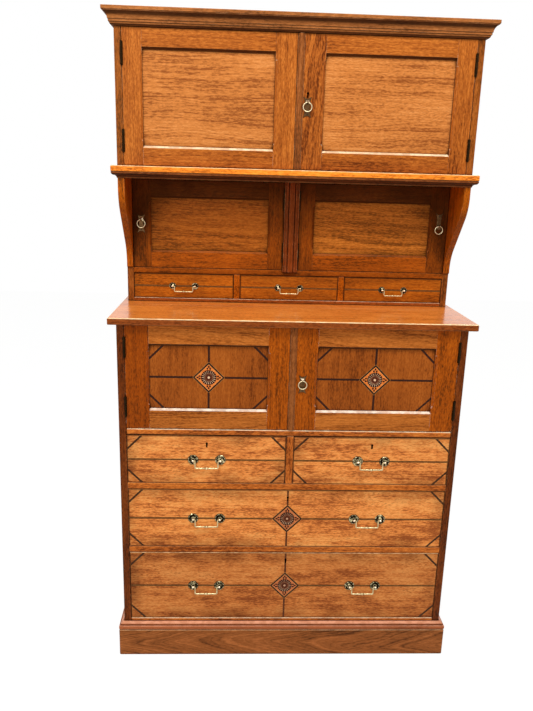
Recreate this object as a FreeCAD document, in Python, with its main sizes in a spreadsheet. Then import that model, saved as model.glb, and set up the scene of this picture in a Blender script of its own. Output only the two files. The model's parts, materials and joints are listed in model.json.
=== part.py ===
import FreeCAD, Part
import math
import os
import Sketcher

# A two-stage linen press in walnut: a base of two doors over two short and two long drawers,
# and a set-back hutch with three small drawers, a recessed cupboard, a through shelf carried
# on scroll brackets and an upper cupboard under a cornice.
#
# Frame: origin on the floor, midway across the press and midway through its overall depth,
# from the front edge of the base top to the back.
# +Z is up, the front faces -Y and +X is to the right of someone who faces the press.

V = FreeCAD.Vector
Turn = FreeCAD.Rotation

doc = FreeCAD.newDocument("LinenPress")
sheet = doc.addObject("Spreadsheet::Sheet", "Sizes")

# alias, value in millimetres (or a plain count), meaning
SIZES = (
    ("base_width", "1067", "over the base carcass sides"),
    ("base_depth", "460", "base carcass, front edge to back"),
    ("base_side_board", "22", "thickness of a base side"),
    ("back_board", "12", "thickness of the matched back boards"),
    ("back_board_count", "6", "matched boards across each back"),
    ("back_tongue", "5", "reach of a matched board's tongue"),
    ("plinth_height", "96", "plinth boards, floor to top edge"),
    ("plinth_board", "22", "thickness of a plinth board"),
    ("plinth_projection", "16", "plinth face in front of the carcass"),
    ("plinth_moulding_height", "26", "moulding above the plinth boards"),
    ("plinth_block", "45", "square glue block in each plinth corner"),
    ("floor_board", "20", "thickness of the carcass floor"),
    ("floor_lip", "11", "floor edge seen above the plinth moulding"),
    ("low_drawer_opening", "246.5", "height of the lower long drawer's opening"),
    ("long_drawer_opening", "203.5", "height of the upper long drawer's opening"),
    ("short_drawer_opening", "162", "height of the short drawers' openings"),
    ("drawer_rail", "21", "height of a rail between drawers"),
    ("drawer_rail_depth", "60", "depth of a rail between drawers, front to back"),
    ("cupboard_floor_board", "21", "floor of the lower cupboard"),
    ("lower_door_opening", "331", "height of the lower cupboard's opening"),
    ("base_top_board", "21", "thickness of the base top"),
    ("base_top_side", "23", "base top beyond the carcass side"),
    ("base_top_front", "20", "base top in front of the carcass"),
    ("top_arris", "2", "arris taken off the base top and the shelf"),
    ("short_divider", "22.6", "upright between the short drawers"),
    ("hutch_width", "1079", "over the hutch sides"),
    ("hutch_side_board", "20", "thickness of a hutch side"),
    ("hutch_setback", "275", "hutch front behind the base carcass front"),
    ("foot_board", "12.5", "board under the small drawers"),
    ("small_drawer_opening", "82.5", "height of the small drawers' openings"),
    ("small_divider", "20", "upright between the small drawers"),
    ("small_divider_place", "176", "centre of a small divider from the centre line"),
    ("hutch_floor_board", "18.5", "floor of the recessed cupboard"),
    ("recess_opening", "284.5", "height of the recessed cupboard's opening"),
    ("frieze_rail", "20", "rail over the recessed doors"),
    ("shelf_board", "18", "thickness of the through shelf"),
    ("shelf_side", "17.5", "shelf beyond the hutch side"),
    ("shelf_front", "19", "shelf in front of the upper cupboard"),
    ("shelf_moulding_height", "18.6", "moulding under the shelf"),
    ("shelf_moulding_out", "17", "reach of the moulding under the shelf"),
    ("fascia_board", "20", "rail behind the shelf moulding"),
    ("upper_setback", "131", "upper cupboard front behind the base carcass front"),
    ("upper_opening", "384", "height of the upper cupboard's opening"),
    ("upper_top_board", "18", "top of the upper cupboard"),
    ("cornice_height", "47.4", "cornice, lower edge to top"),
    ("cornice_out", "30", "reach of the cornice"),
    ("cornice_ground", "20", "thickness of the grounds behind the cornice"),
    ("cornice_lip", "5", "cornice above its grounds"),
    ("inner_shelf_board", "18", "shelf inside the upper cupboard"),
    ("inner_shelf_place", "184", "height of that shelf over the through shelf"),
    ("inner_shelf_clearance", "5", "that shelf's front edge behind the lock case"),
    ("bearer", "18", "square bearer under that shelf"),
    ("post_width", "48", "reeded post between the recessed doors"),
    ("post_proud", "10", "post in front of the recessed doors"),
    ("post_depth", "20", "post behind the doors' faces"),
    ("post_lap", "5.5", "post's lap over the cupboard floor's edge"),
    ("reed_groove", "5", "width of a groove between reeds"),
    ("reed_deep", "3.5", "depth of that groove"),
    ("middle_reed", "20.2", "between the middles of those grooves"),
    ("post_flat", "6", "flat beside the reeds"),
    ("reed_arris", "1", "arris taken off the outer reeds"),
    ("bracket_drop", "29.4", "straight top of a scroll bracket"),
    ("bracket_radius", "110", "both sweeps of a scroll bracket"),
    ("bracket_turn", "40", "slope of a bracket's middle, degrees"),
    ("bracket_foot", "7", "bracket's lower end in front of the hutch side"),
    ("bracket_nose", "5", "radius of the bracket's foot"),
    ("door_board", "20", "thickness of a door frame"),
    ("door_gap", "1.5", "gap round a door"),
    ("meeting_gap", "1.2", "gap between a pair of doors"),
    ("bead_width", "20.4", "meeting bead"),
    ("bead_out", "6.5", "reach of the meeting bead"),
    ("bead_quirk", "1.6", "flat beside the meeting bead"),
    ("bead_base", "1.3", "that flat in front of the stile"),
    ("panel_board", "7", "thickness of a door panel"),
    ("panel_sunk", "9", "panel behind the face of its frame"),
    ("panel_tongue", "6", "panel edge held in the frame"),
    ("panel_play", "0.6", "room for a panel to move in its groove"),
    ("tenon_board", "7", "thickness of a tenon"),
    ("tenon_reach", "34", "length of a tenon"),
    ("tenon_shoulder", "12", "tenon inside the rail's outer edge"),
    ("tenon_from_groove", "3", "tenon from the panel's groove"),
    ("stop_chamfer", "6", "width of the stopped chamfers"),
    ("stop_from_corner", "12", "stopped chamfer's end from the corner"),
    ("stop_run", "7", "length of a chamfer's stop"),
    ("upper_hinge_stile", "57", "upper doors, stile beside the hinges"),
    ("upper_closing_edge", "73.5", "upper doors, panel edge from the centre line"),
    ("upper_door_rail", "57", "upper doors, height of a rail"),
    ("recess_post_stile", "50.2", "recessed doors, stile beside the post"),
    ("recess_outer_stile", "58.5", "recessed doors, outer stile"),
    ("recess_door_rail", "56.5", "recessed doors, height of a rail"),
    ("lower_hinge_stile", "71.5", "lower doors, stile beside the hinges"),
    ("lower_closing_edge", "75.5", "lower doors, panel edge from the centre line"),
    ("lower_door_rail", "64", "lower doors, height of a rail"),
    ("hinge_long", "64", "length of a butt hinge"),
    ("hinge_from_end", "38", "hinge from the end of a tall door"),
    ("recess_hinge_from_end", "24", "hinge from the end of a recessed door"),
    ("knuckle_radius", "3.5", "hinge knuckle"),
    ("hinge_pin_radius", "1.25", "hinge pin"),
    ("pin_clearance", "0.1", "radial room round a turning pin"),
    ("knuckle_proud", "2", "hinge axis in front of the door's face"),
    ("leaf_sheet", "1.2", "thickness of a hinge leaf"),
    ("leaf_deep", "16", "leaf behind the door's face"),
    ("knuckle_clearance", "0.4", "room round a knuckle"),
    ("drawer_front_board", "20", "thickness of a drawer front"),
    ("drawer_side_board", "12", "thickness of a drawer side"),
    ("small_side_board", "9", "thickness of a small drawer's side"),
    ("drawer_bottom_board", "8", "thickness of a drawer bottom"),
    ("small_bottom_board", "6", "thickness of a small drawer's bottom"),
    ("bottom_raise", "10", "drawer bottom above the side's lower edge"),
    ("bottom_groove", "6", "depth of the groove for a drawer bottom"),
    ("back_housing", "4", "depth of the housing for a drawer back"),
    ("drawer_end_room", "23", "long and short drawers, room behind the drawer"),
    ("small_drawer_end_room", "7", "small drawers, room behind the drawer"),
    ("drawer_side_gap", "1.3", "gap beside a drawer"),
    ("drawer_top_gap", "1.6", "gap over a drawer"),
    ("drawer_foot_gap", "0.5", "gap under a drawer"),
    ("side_below_front", "2", "drawer side's upper edge below the front's"),
    ("back_below_side", "8", "drawer back's upper edge below the side's"),
    ("dovetail_lap", "6", "front left uncut in front of the tails"),
    ("dovetail_pin", "18", "narrow end of a pin between two tails"),
    ("dovetail_flare", "2.3", "slope of a tail's edge over its whole length"),
    ("runner_width", "38", "drawer runner"),
    ("stop_block", "26", "drawer stop, square"),
    ("stop_height", "5", "drawer stop above its rail"),
    ("stop_clearance", "0.3", "room between a drawer front or door and its stop"),
    ("guide_height", "20", "guide strip between the short drawers"),
    ("handle_spread", "86", "large handle, between its posts"),
    ("handle_rose", "17", "large handle, radius of a rose"),
    ("bail_drop", "25", "large handle, drop of the bail"),
    ("bail_bar", "2.3", "large handle, radius of the bail"),
    ("bail_arms", "72", "large handle, between the bail's arms"),
    ("bail_bead", "3.8", "large handle, radius of the bail's bead"),
    ("small_handle_spread", "75", "small handle, between its posts"),
    ("small_handle_rose", "11.5", "small handle, radius of a rose"),
    ("small_bail_drop", "18", "small handle, drop of the bail"),
    ("small_bail_bar", "2", "small handle, radius of the bail"),
    ("small_bail_arms", "61", "small handle, between the bail's arms"),
    ("small_bail_bead", "3.5", "small handle, radius of the bail's bead"),
    ("rose_plate", "2.5", "thickness of a rose"),
    ("post_radius", "4", "handle post"),
    ("post_reach", "10.5", "bail's axis in front of the drawer"),
    ("bail_pin", "1.5", "radius of the bail's pin"),
    ("bail_pin_past", "1.5", "pin's end past the middle of its post"),
    ("post_wall", "2.2", "post in front of the pin"),
    ("pin_bore_clearance", "0.2", "room round a bail's pin"),
    ("bolt_radius", "2.5", "handle bolt through the drawer front"),
    ("bolt_clearance", "0.3", "room round a handle bolt"),
    ("bolt_nut", "10", "square nut on a handle bolt"),
    ("nut_sheet", "4", "thickness of that nut"),
    ("side_handle_place", "261", "handle of a long drawer from the centre line"),
    ("outer_small_handle", "353", "handle of an outer small drawer from the centre line"),
    ("ring_plate_high", "58", "ring pull plate, height"),
    ("ring_plate_wide", "22.5", "ring pull plate, width over the horns"),
    ("ring_plate_body", "17.6", "ring pull plate, width at its shoulders"),
    ("ring_plate_waist", "15.4", "ring pull plate, width at its waist"),
    ("ring_plate_horn", "8", "ring pull plate, height of a horn"),
    ("ring_plate_notch", "5.8", "ring pull plate, depth between the horns"),
    ("ring_plate_dip", "6.8", "ring pull plate, flat between the horns"),
    ("ring_plate_sheet", "2", "thickness of a ring pull plate"),
    ("ring_radius", "12.8", "ring, centre of the wire"),
    ("ring_wire", "1.7", "radius of the ring's wire"),
    ("ring_reach", "8", "ring's axis in front of the door"),
    ("ring_lug", "3.6", "thickness of the lug that holds the ring"),
    ("ring_lug_wall", "1.2", "lug's wall round the ring"),
    ("ring_eye_clearance", "0.35", "room round the ring in its lug"),
    ("ring_lug_place", "12.8", "lug from the middle of its plate"),
    ("ring_boss", "15", "height of the boss under that lug"),
    ("ring_boss_wide", "11.2", "width of that boss"),
    ("ring_nail", "1.4", "nail hole in a ring pull plate"),
    ("ring_nail_place", "14.5", "that hole from the middle of its plate"),
    ("ring_from_meeting", "34", "upper ring pull from the seam of the doors"),
    ("lower_ring_from_meeting", "41", "lower ring pull from the seam of the doors"),
    ("recess_ring_from_edge", "27", "recessed ring pull from the door's free edge"),
    ("upper_ring_height", "179", "upper ring pull above the door's foot"),
    ("lower_ring_height", "149", "lower ring pull above the door's foot"),
    ("left_ring_height", "141", "left recessed ring pull above the door's foot"),
    ("right_ring_height", "169", "right recessed ring pull above the door's foot"),
    ("keyhole_bow", "2.5", "radius of a keyhole's round end"),
    ("keyhole_slot", "2.8", "width of a keyhole's slot"),
    ("keyhole_long", "14.5", "overall height of a keyhole"),
    ("lock_wide", "58", "lock case, width"),
    ("lock_high", "38", "lock case, height"),
    ("lock_sheet", "9", "lock case, thickness"),
    ("keyhole_below_top", "25", "keyhole's centre below a drawer's top edge"),
    ("upper_keyhole_height", "218", "upper keyhole above the door's foot"),
    ("door_stop", "14", "height of a stop block behind the doors"),
    ("door_stop_wide", "84", "width of that stop block"),
    ("door_stop_board", "8", "thickness of that stop block"),
    ("recess_stop_wide", "30", "width of a stop behind a recessed door"),
)


class Size:
    """A number of the sheet together with the expression that gives it."""

    def __init__(self, number, text):
        self.number = float(number)
        self.text = text

    def joined(self, other, sign, number):
        return Size(number, f"({self.text} {sign} {written(other)})")

    def __add__(self, other):
        return self.joined(other, "+", self.number + float(other))

    def __sub__(self, other):
        return self.joined(other, "-", self.number - float(other))

    def __mul__(self, other):
        return self.joined(other, "*", self.number * float(other))

    def __truediv__(self, other):
        return self.joined(other, "/", self.number / float(other))

    def __rsub__(self, other):
        return Size(float(other) - self.number, f"({written(other)} - {self.text})")

    def __neg__(self):
        return Size(-self.number, f"(0 - {self.text})")

    def __float__(self):
        return self.number

    __radd__ = __add__
    __rmul__ = __mul__


def written(value):
    """The text of a size or of a plain number."""
    return value.text if isinstance(value, Size) else format(float(value), ".10g")


for row, (alias, value, meaning) in enumerate(SIZES, start=1):
    sheet.set(f"A{row}", meaning)
    sheet.set(f"B{row}", value)
    sheet.setAlias(f"B{row}", alias)
doc.recompute()


class Named:
    """The sheet's sizes as attributes: S.base_width is the cell with that alias."""

    def __getattr__(self, alias):
        return Size(sheet.get(alias), f"Sizes.{alias}")


S = Named()


# ---------------------------------------------------------------- shapes that sizes can drive

def bind(item, property_name, value):
    item.setExpression(property_name, written(value))


def bind_place(item, x, y, z):
    for axis, value in zip("xyz", (x, y, z)):
        bind(item, ".Placement.Base." + axis, value)


def board(name, x, y, z):
    """A squared board between two planes on each axis."""
    item = doc.addObject("Part::Box", name)
    bind_place(item, x[0], y[0], z[0])
    for side, span in zip(("Length", "Width", "Height"), (x, y, z)):
        bind(item, side, span[1] - span[0])
    return item


def taper(name, near, far, low_x, high_x, low_z, high_z, rotation=None, at=(0, 0, 0)):
    """A block that changes from one rectangle at local y = near to another at y = far.

    Each of the four edges is a pair: its place on the near face and on the far face.
    """
    item = doc.addObject("Part::Wedge", name)
    pairs = (("Ymin", near), ("Ymax", far), ("Xmin", low_x[0]), ("X2min", low_x[1]),
             ("Xmax", high_x[0]), ("X2max", high_x[1]), ("Zmin", low_z[0]), ("Z2min", low_z[1]),
             ("Zmax", high_z[0]), ("Z2max", high_z[1]))
    for property_name, value in pairs:
        bind(item, property_name, value)
    if rotation is not None:
        item.Placement = FreeCAD.Placement(V(0, 0, 0), rotation)
    bind_place(item, *at)
    return item


# Small turned pieces are made with flat sides; the second value of each pair takes the radius
# of the circle inside the flats to that of the circle through the corners.
ROUND = 8
ROUND_OVER = 1 / math.cos(math.pi / ROUND)
SLIM = 6
SLIM_OVER = 1 / math.cos(math.pi / SLIM)
AXIS_TURNS = {"x": Turn(V(0, 1, 0), 90), "y": Turn(V(1, 0, 0), -90), "z": Turn()}


def bar(name, sides, axis, at, length, radius):
    """A bar with flat sides; radius is that of the circle through its corners."""
    item = doc.addObject("Part::Prism", name)
    item.Polygon = sides
    half_side = Turn(V(0, 0, 1), 180 / sides)
    item.Placement = FreeCAD.Placement(V(0, 0, 0), AXIS_TURNS[axis].multiply(half_side))
    bind_place(item, *at)
    bind(item, "Height", length)
    bind(item, "Circumradius", radius)
    return item


def round_bar(name, axis, at, length, radius):
    """A truly round bar, for what turns."""
    item = doc.addObject("Part::Cylinder", name)
    item.Placement = FreeCAD.Placement(V(0, 0, 0), AXIS_TURNS[axis])
    bind_place(item, *at)
    bind(item, "Height", length)
    bind(item, "Radius", radius)
    return item


def cut(name, base, *tools):
    """The base with each tool taken out of it in turn."""
    for index, tool in enumerate(tools):
        result = doc.addObject("Part::Cut", f"{name}_cut{index}")
        result.Base = base
        result.Tool = tool
        base = result
    return base


def fuse(name, *pieces):
    result = doc.addObject("Part::MultiFuse", name)
    result.Shapes = list(pieces)
    result.Refine = True
    return result


def common(name, base, tool):
    result = doc.addObject("Part::Common", name)
    result.Base = base
    result.Tool = tool
    return result


def outline(sketch, corners):
    """Draw a closed outline and bind it to the sheet.

    A corner is (x, y), or (x, y, radius) where an arc arrives there: a positive radius turns
    to the left on its way and a negative one to the right.
    """
    count = len(corners)
    for index in range(count):
        start = V(float(corners[index - 1][0]), float(corners[index - 1][1]), 0)
        end = V(float(corners[index][0]), float(corners[index][1]), 0)
        if len(corners[index]) == 2:
            sketch.addGeometry(Part.LineSegment(start, end), False)
            continue
        radius = float(corners[index][2])
        chord = end - start
        rise = math.sqrt(max(radius ** 2 - chord.Length ** 2 / 4, 0))
        side = V(-chord.y, chord.x, 0).normalize() * math.copysign(rise, radius)
        centre = (start + end) / 2 + side
        first, last = (start, end) if radius > 0 else (end, start)
        angles = [math.atan2(point.y - centre.y, point.x - centre.x) for point in (first, last)]
        circle = Part.Circle(centre, V(0, 0, 1), abs(radius))
        sketch.addGeometry(Part.ArcOfCircle(circle, *angles), False)

    def ends(index):
        reverse = len(corners[index]) == 3 and float(corners[index][2]) < 0
        return (2, 1) if reverse else (1, 2)

    for index in range(count):
        after = (index + 1) % count
        sketch.addConstraint(
            Sketcher.Constraint("Coincident", index, ends(index)[1], after, ends(after)[0]))
        for kind, value in zip(("DistanceX", "DistanceY"), corners[index][:2]):
            number = sketch.addConstraint(
                Sketcher.Constraint(kind, -1, 1, index, ends(index)[1], float(value)))
            bind(sketch, f"Constraints[{number}]", value)
        if len(corners[index]) == 3:
            radius = corners[index][2]
            size = -radius if float(radius) < 0 else radius
            number = sketch.addConstraint(Sketcher.Constraint("Radius", index, float(size)))
            bind(sketch, f"Constraints[{number}]", size)


def padded(name, corners, length, rotation=None, at=(0, 0, 0)):
    """A body whose outline, drawn in its own XY plane, is padded by a length along its Z."""
    body = doc.addObject("PartDesign::Body", name)
    sketch = body.newObject("Sketcher::SketchObject", name + "_outline")
    plane = next(item for item in body.Origin.OriginFeatures if item.Role == "XY_Plane")
    sketch.AttachmentSupport = [(plane, "")]
    sketch.MapMode = "FlatFace"
    outline(sketch, corners)
    pad = body.newObject("PartDesign::Pad", name + "_pad")
    pad.Profile = sketch
    bind(pad, "Length", length)
    if rotation is not None:
        body.Placement = FreeCAD.Placement(V(0, 0, 0), rotation)
    bind_place(body, *at)
    return body


def facing(local_x, local_y):
    """The rotation that lays a drawing's x and y along two of the press's directions."""
    across, along = V(*local_x), V(*local_y)
    return Turn(across, along, across.cross(along), "XYZ")


OUT_FRONT, OUT_RIGHT, OUT_LEFT, UP = (0, -1, 0), (1, 0, 0), (-1, 0, 0), (0, 0, 1)

nodes = {}


def node(name, *pieces):
    """Gather the pieces of one sub-part; the label names its file."""
    group = doc.addObject("Part::Compound", name)
    group.Label = name
    group.Links = list(pieces)
    nodes[name] = group


# ---------------------------------------------------------------- levels and planes

def stack(start, *steps):
    """Running heights: the start and the height after each step."""
    heights = [start]
    for step in steps:
        heights.append(heights[-1] + step)
    return heights


base_front = (S.base_top_front - S.base_depth) / 2
back = (S.base_depth + S.base_top_front) / 2
half_base = S.base_width / 2
base_inner = half_base - S.base_side_board
half_hutch = S.hutch_width / 2
hutch_inner = half_hutch - S.hutch_side_board
recess_front = base_front + S.hutch_setback
upper_front = base_front + S.upper_setback
back_inner = back - S.back_board

z_floor = S.plinth_height + S.plinth_moulding_height + S.floor_lip
(_, z_low_rail, z_low_rail_top, z_mid_rail, z_mid_rail_top, z_cupboard, z_lower_doors,
 z_base_top, z_hutch) = stack(
    z_floor, S.low_drawer_opening, S.drawer_rail, S.long_drawer_opening, S.drawer_rail,
    S.short_drawer_opening, S.cupboard_floor_board, S.lower_door_opening, S.base_top_board)
(_, z_small_drawers, z_hutch_floor, z_recess, z_frieze, z_shelf, z_shelf_top, z_upper_top,
 z_top) = stack(
    z_hutch, S.foot_board, S.small_drawer_opening, S.hutch_floor_board, S.recess_opening,
    S.frieze_rail, S.shelf_board, S.upper_opening, S.cornice_height)
z_fascia = z_shelf - S.shelf_moulding_height


# ---------------------------------------------------------------- mouldings

def moulding(name, profile, reach, half_width, front, foot, height):
    """A profile carried along the front and mitred into a return on each side.

    The profile is drawn as (distance out, height); it stands on the given foot.
    """
    long_way = (half_width + reach) * 2
    side_way = back - front + reach
    reach_half = half_width + reach

    across = padded(name + "_front_length", profile, long_way,
                    facing(OUT_FRONT, UP), (reach_half, front, foot))
    front_plan = taper(name + "_front_mitres", front - reach, front,
                       (-reach_half, -half_width), (reach_half, half_width),
                       (foot, foot), (foot + height, foot + height))
    pieces = [common(name + "_front", across, front_plan)]

    for side, out, start, turn in ((1, OUT_RIGHT, back, 90), (-1, OUT_LEFT, front - reach, -90)):
        label = f"{name}_{'right' if side > 0 else 'left'}"
        length = padded(label + "_length", profile, side_way,
                        facing(out, UP), (half_width * side, start, foot))
        near, far = front - reach, front
        if side > 0:
            low, high = (near, far), (back, back)
        else:
            low, high = (-back, -back), (-near, -far)
        plan = taper(label + "_mitre", -reach_half, -half_width, low, high,
                     (foot, foot), (foot + height, foot + height), Turn(V(0, 0, 1), turn))
        pieces.append(common(label, length, plan))
    return pieces


# ---------------------------------------------------------------- plinth and base carcass

def make_plinth():
    out = half_base + S.plinth_projection
    front = base_front - S.plinth_projection
    inner = out - S.plinth_board
    inner_front = front + S.plinth_board
    heights = (0 * S.plinth_height, S.plinth_height)
    flat = ((heights[0], heights[0]), (heights[1], heights[1]))
    pieces = [taper("plinth_front", front, inner_front, (-out, -inner), (out, inner), *flat)]
    for side, turn in ((1, 90), (-1, -90)):
        if side > 0:
            low, high = (front, inner_front), (back, back)
        else:
            low, high = (-back, -back), (-front, -inner_front)
        pieces.append(taper(f"plinth_side{side}", -out, -inner, low, high, *flat,
                            Turn(V(0, 0, 1), turn)))
    pieces.append(board("plinth_back", (-inner, inner), (back - S.plinth_board, back), heights))
    block = S.plinth_block
    for x in ((-inner, block - inner), (inner - block, inner)):
        for y in ((inner_front, inner_front + block),
                  (back - S.plinth_board - block, back - S.plinth_board)):
            pieces.append(board("plinth_block", x, y, heights))
    node("plinth_boards", *pieces)

    # From the foot: a fillet, a torus, a quirk and a chamfered shoulder. The moulding keeps
    # its proportions, so its profile is drawn in shares of its reach and height.
    reach = S.plinth_projection
    top = S.plinth_moulding_height
    fillet = 0.875 * reach
    quirk = 0.69 * reach
    profile = (
        (0 * reach, 0 * top), (fillet, 0 * top), (fillet, 0.12 * top),
        (fillet, 0.58 * top, 0.24 * top), (quirk, 0.58 * top), (quirk, 0.8 * top),
        (0.2 * reach, top), (0 * reach, top))
    node("plinth_moulding", *moulding("plinth_mould", profile, reach, half_base, base_front,
                                      S.plinth_height, top))


def hinge_cuts(name, edge, side, face, low):
    """What a hinge takes out of the board beside it: the leaf's bed and the knuckle's room.

    The board's edge plane is x = edge and its wood lies towards side.
    """
    bed = span_from(edge, side, 0 * S.leaf_sheet, S.leaf_sheet)
    centre = edge - side * S.door_gap / 2
    return (
        board(name + "_bed", bed, (face, face + S.leaf_deep), (low, low + S.hinge_long)),
        bar(name + "_room", ROUND, "z", (centre, face - S.knuckle_proud, low), S.hinge_long,
            (S.knuckle_radius + S.knuckle_clearance) * ROUND_OVER))


def span_from(origin, side, near, far):
    """A pair of x places at two distances from an origin, lowest first."""
    return (origin + near, origin + far) if side > 0 else (origin - far, origin - near)


def hinge_heights(foot, top, from_end):
    return (foot + from_end, top - from_end - S.hinge_long)


def make_base_sides():
    pieces = []
    foot = z_lower_doors + S.door_gap
    top = z_base_top - S.door_gap
    for side in (-1, 1):
        piece = board(f"base_side{side}", span_from(0 * half_base, side, base_inner, half_base),
                      (base_front, back), (S.plinth_height, z_base_top))
        for index, low in enumerate(hinge_heights(foot, top, S.hinge_from_end)):
            piece = cut(f"base_side{side}_hinge{index}", piece,
                        *hinge_cuts(f"base_side{side}_{index}", base_inner * side, side,
                                    base_front, low))
        pieces.append(piece)
    node("base_sides", *pieces)


def matched_boards(name, half_width, low, high):
    """Upright back boards, each tongued into the groove of the next."""
    count = int(float(S.back_board_count))
    width = half_width * 2 / count
    third = S.back_board / 3
    pieces = []
    for index in range(count):
        left = width * index - half_width
        right = left + width
        piece = board(f"{name}{index}", (left, right), (back_inner, back), (low, high))
        middle = (back_inner + third, back - third)
        if index < count - 1:
            tongue = board(f"{name}{index}_tongue", (right, right + S.back_tongue), middle,
                           (low, high))
            piece = fuse(f"{name}{index}_tongued", piece, tongue)
        if index > 0:
            groove = board(f"{name}{index}_groove", (left, left + S.back_tongue), middle,
                           (low, high))
            piece = cut(f"{name}{index}_grooved", piece, groove)
        pieces.append(piece)
    node(name, *pieces)


def make_base_inside():
    wide = (-base_inner, base_inner)
    deep = (base_front, back_inner)
    node("base_floors",
         board("carcass_floor", wide, deep, (z_floor - S.floor_board, z_floor)),
         board("cupboard_floor", wide, deep, (z_cupboard, z_lower_doors)))
    front_deep = (base_front, base_front + S.drawer_rail_depth)
    rails = []
    for name, low, high in (("low", z_low_rail, z_low_rail_top),
                            ("mid", z_mid_rail, z_mid_rail_top)):
        rails.append(board(name + "_rail", wide, front_deep, (low, high)))
        rails.append(board(name + "_rear_rail", wide,
                           (back_inner - S.drawer_rail_depth, back_inner), (low, high)))
    node("drawer_rails", *rails)

    half_divider = S.short_divider / 2
    half_small = S.small_divider / 2
    dividers = [board("short_divider", (-half_divider, half_divider), front_deep,
                      (z_mid_rail_top, z_cupboard))]
    for side in (-1, 1):
        centre = S.small_divider_place * side
        dividers.append(board(f"small_divider{side}", (centre - half_small, centre + half_small),
                              (recess_front, back_inner), (z_small_drawers, z_hutch_floor)))
    node("drawer_dividers", *dividers)

    runner_deep = (front_deep[1], back_inner - S.drawer_rail_depth)
    pieces = []
    for low, high in ((z_low_rail, z_low_rail_top), (z_mid_rail, z_mid_rail_top)):
        for side in (-1, 1):
            x = span_from(base_inner * side, -side, 0 * half_base, S.runner_width)
            pieces.append(board("runner", x, runner_deep, (low, high)))
    pieces.append(board("centre_runner", (-S.runner_width, S.runner_width), runner_deep,
                        (z_mid_rail, z_mid_rail_top)))
    pieces.append(board("centre_guide", (-half_divider, half_divider),
                        (front_deep[1], back_inner), (z_mid_rail_top, z_mid_rail_top + S.guide_height)))
    behind_front = base_front + S.drawer_front_board + S.stop_clearance
    quarter = base_inner / 2
    for level in (z_floor, z_low_rail_top, z_mid_rail_top):
        for side in (-1, 1):
            middle = quarter * side
            pieces.append(board("drawer_stop", (middle - S.stop_block / 2, middle + S.stop_block / 2),
                                (behind_front, behind_front + S.stop_block),
                                (level, level + S.stop_height)))
    pieces.append(pair_stop("lower", base_front, z_base_top))
    node("runners_and_stops", *pieces)


def pair_stop(name, face, high):
    """A block that both doors of a pair close against, under the board above them."""
    half = S.door_stop_wide / 2
    behind = face + S.door_board + S.stop_clearance
    return board(name + "_door_stop", (-half, half), (behind, behind + S.door_stop_board),
                 (high - S.door_stop, high))


def recess_stops():
    """A block on the hutch floor behind the free edge of each recessed door."""
    behind = recess_front + S.door_board + S.stop_clearance
    return [board("recess_door_stop",
                  span_from(hutch_inner * side, -side, 0 * half_hutch, S.recess_stop_wide),
                  (behind, behind + S.door_stop_board), (z_recess, z_recess + S.door_stop))
            for side in (-1, 1)]


def softened_top(name, half_width, front, low, high, notch_half):
    """A wide board with the arris taken off its front and ends, let round the back boards."""
    body = doc.addObject("PartDesign::Body", name)
    slab = body.newObject("PartDesign::AdditiveBox", name + "_slab")
    bind(slab, "Length", half_width * 2)
    bind(slab, "Width", back - front)
    bind(slab, "Height", high - low)
    bind_place(body, -half_width, front, low)
    doc.recompute()
    edges = []
    for index, edge in enumerate(slab.Shape.Edges, start=1):
        middle = edge.CenterOfMass
        upright = abs(edge.tangentAt(edge.FirstParameter).z) > 0.5
        at_back = abs(middle.y - float(back - front)) < 0.01
        if not upright and not at_back:
            edges.append(f"Edge{index}")
    arris = body.newObject("PartDesign::Chamfer", name + "_arris")
    arris.Base = (slab, edges)
    bind(arris, "Size", S.top_arris)
    if notch_half is None:
        return body
    notch = board(name + "_notch", (-notch_half, notch_half), (back_inner, back), (low, high))
    return cut(name + "_let", body, notch)


def make_base():
    make_plinth()
    make_base_sides()
    make_base_inside()
    node("base_top", softened_top("top_board", half_base + S.base_top_side,
                                  base_front - S.base_top_front, z_base_top, z_hutch, None))
    matched_boards("base_back_boards", base_inner, S.plinth_height, z_base_top)


# ---------------------------------------------------------------- hutch and upper cupboard

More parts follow.
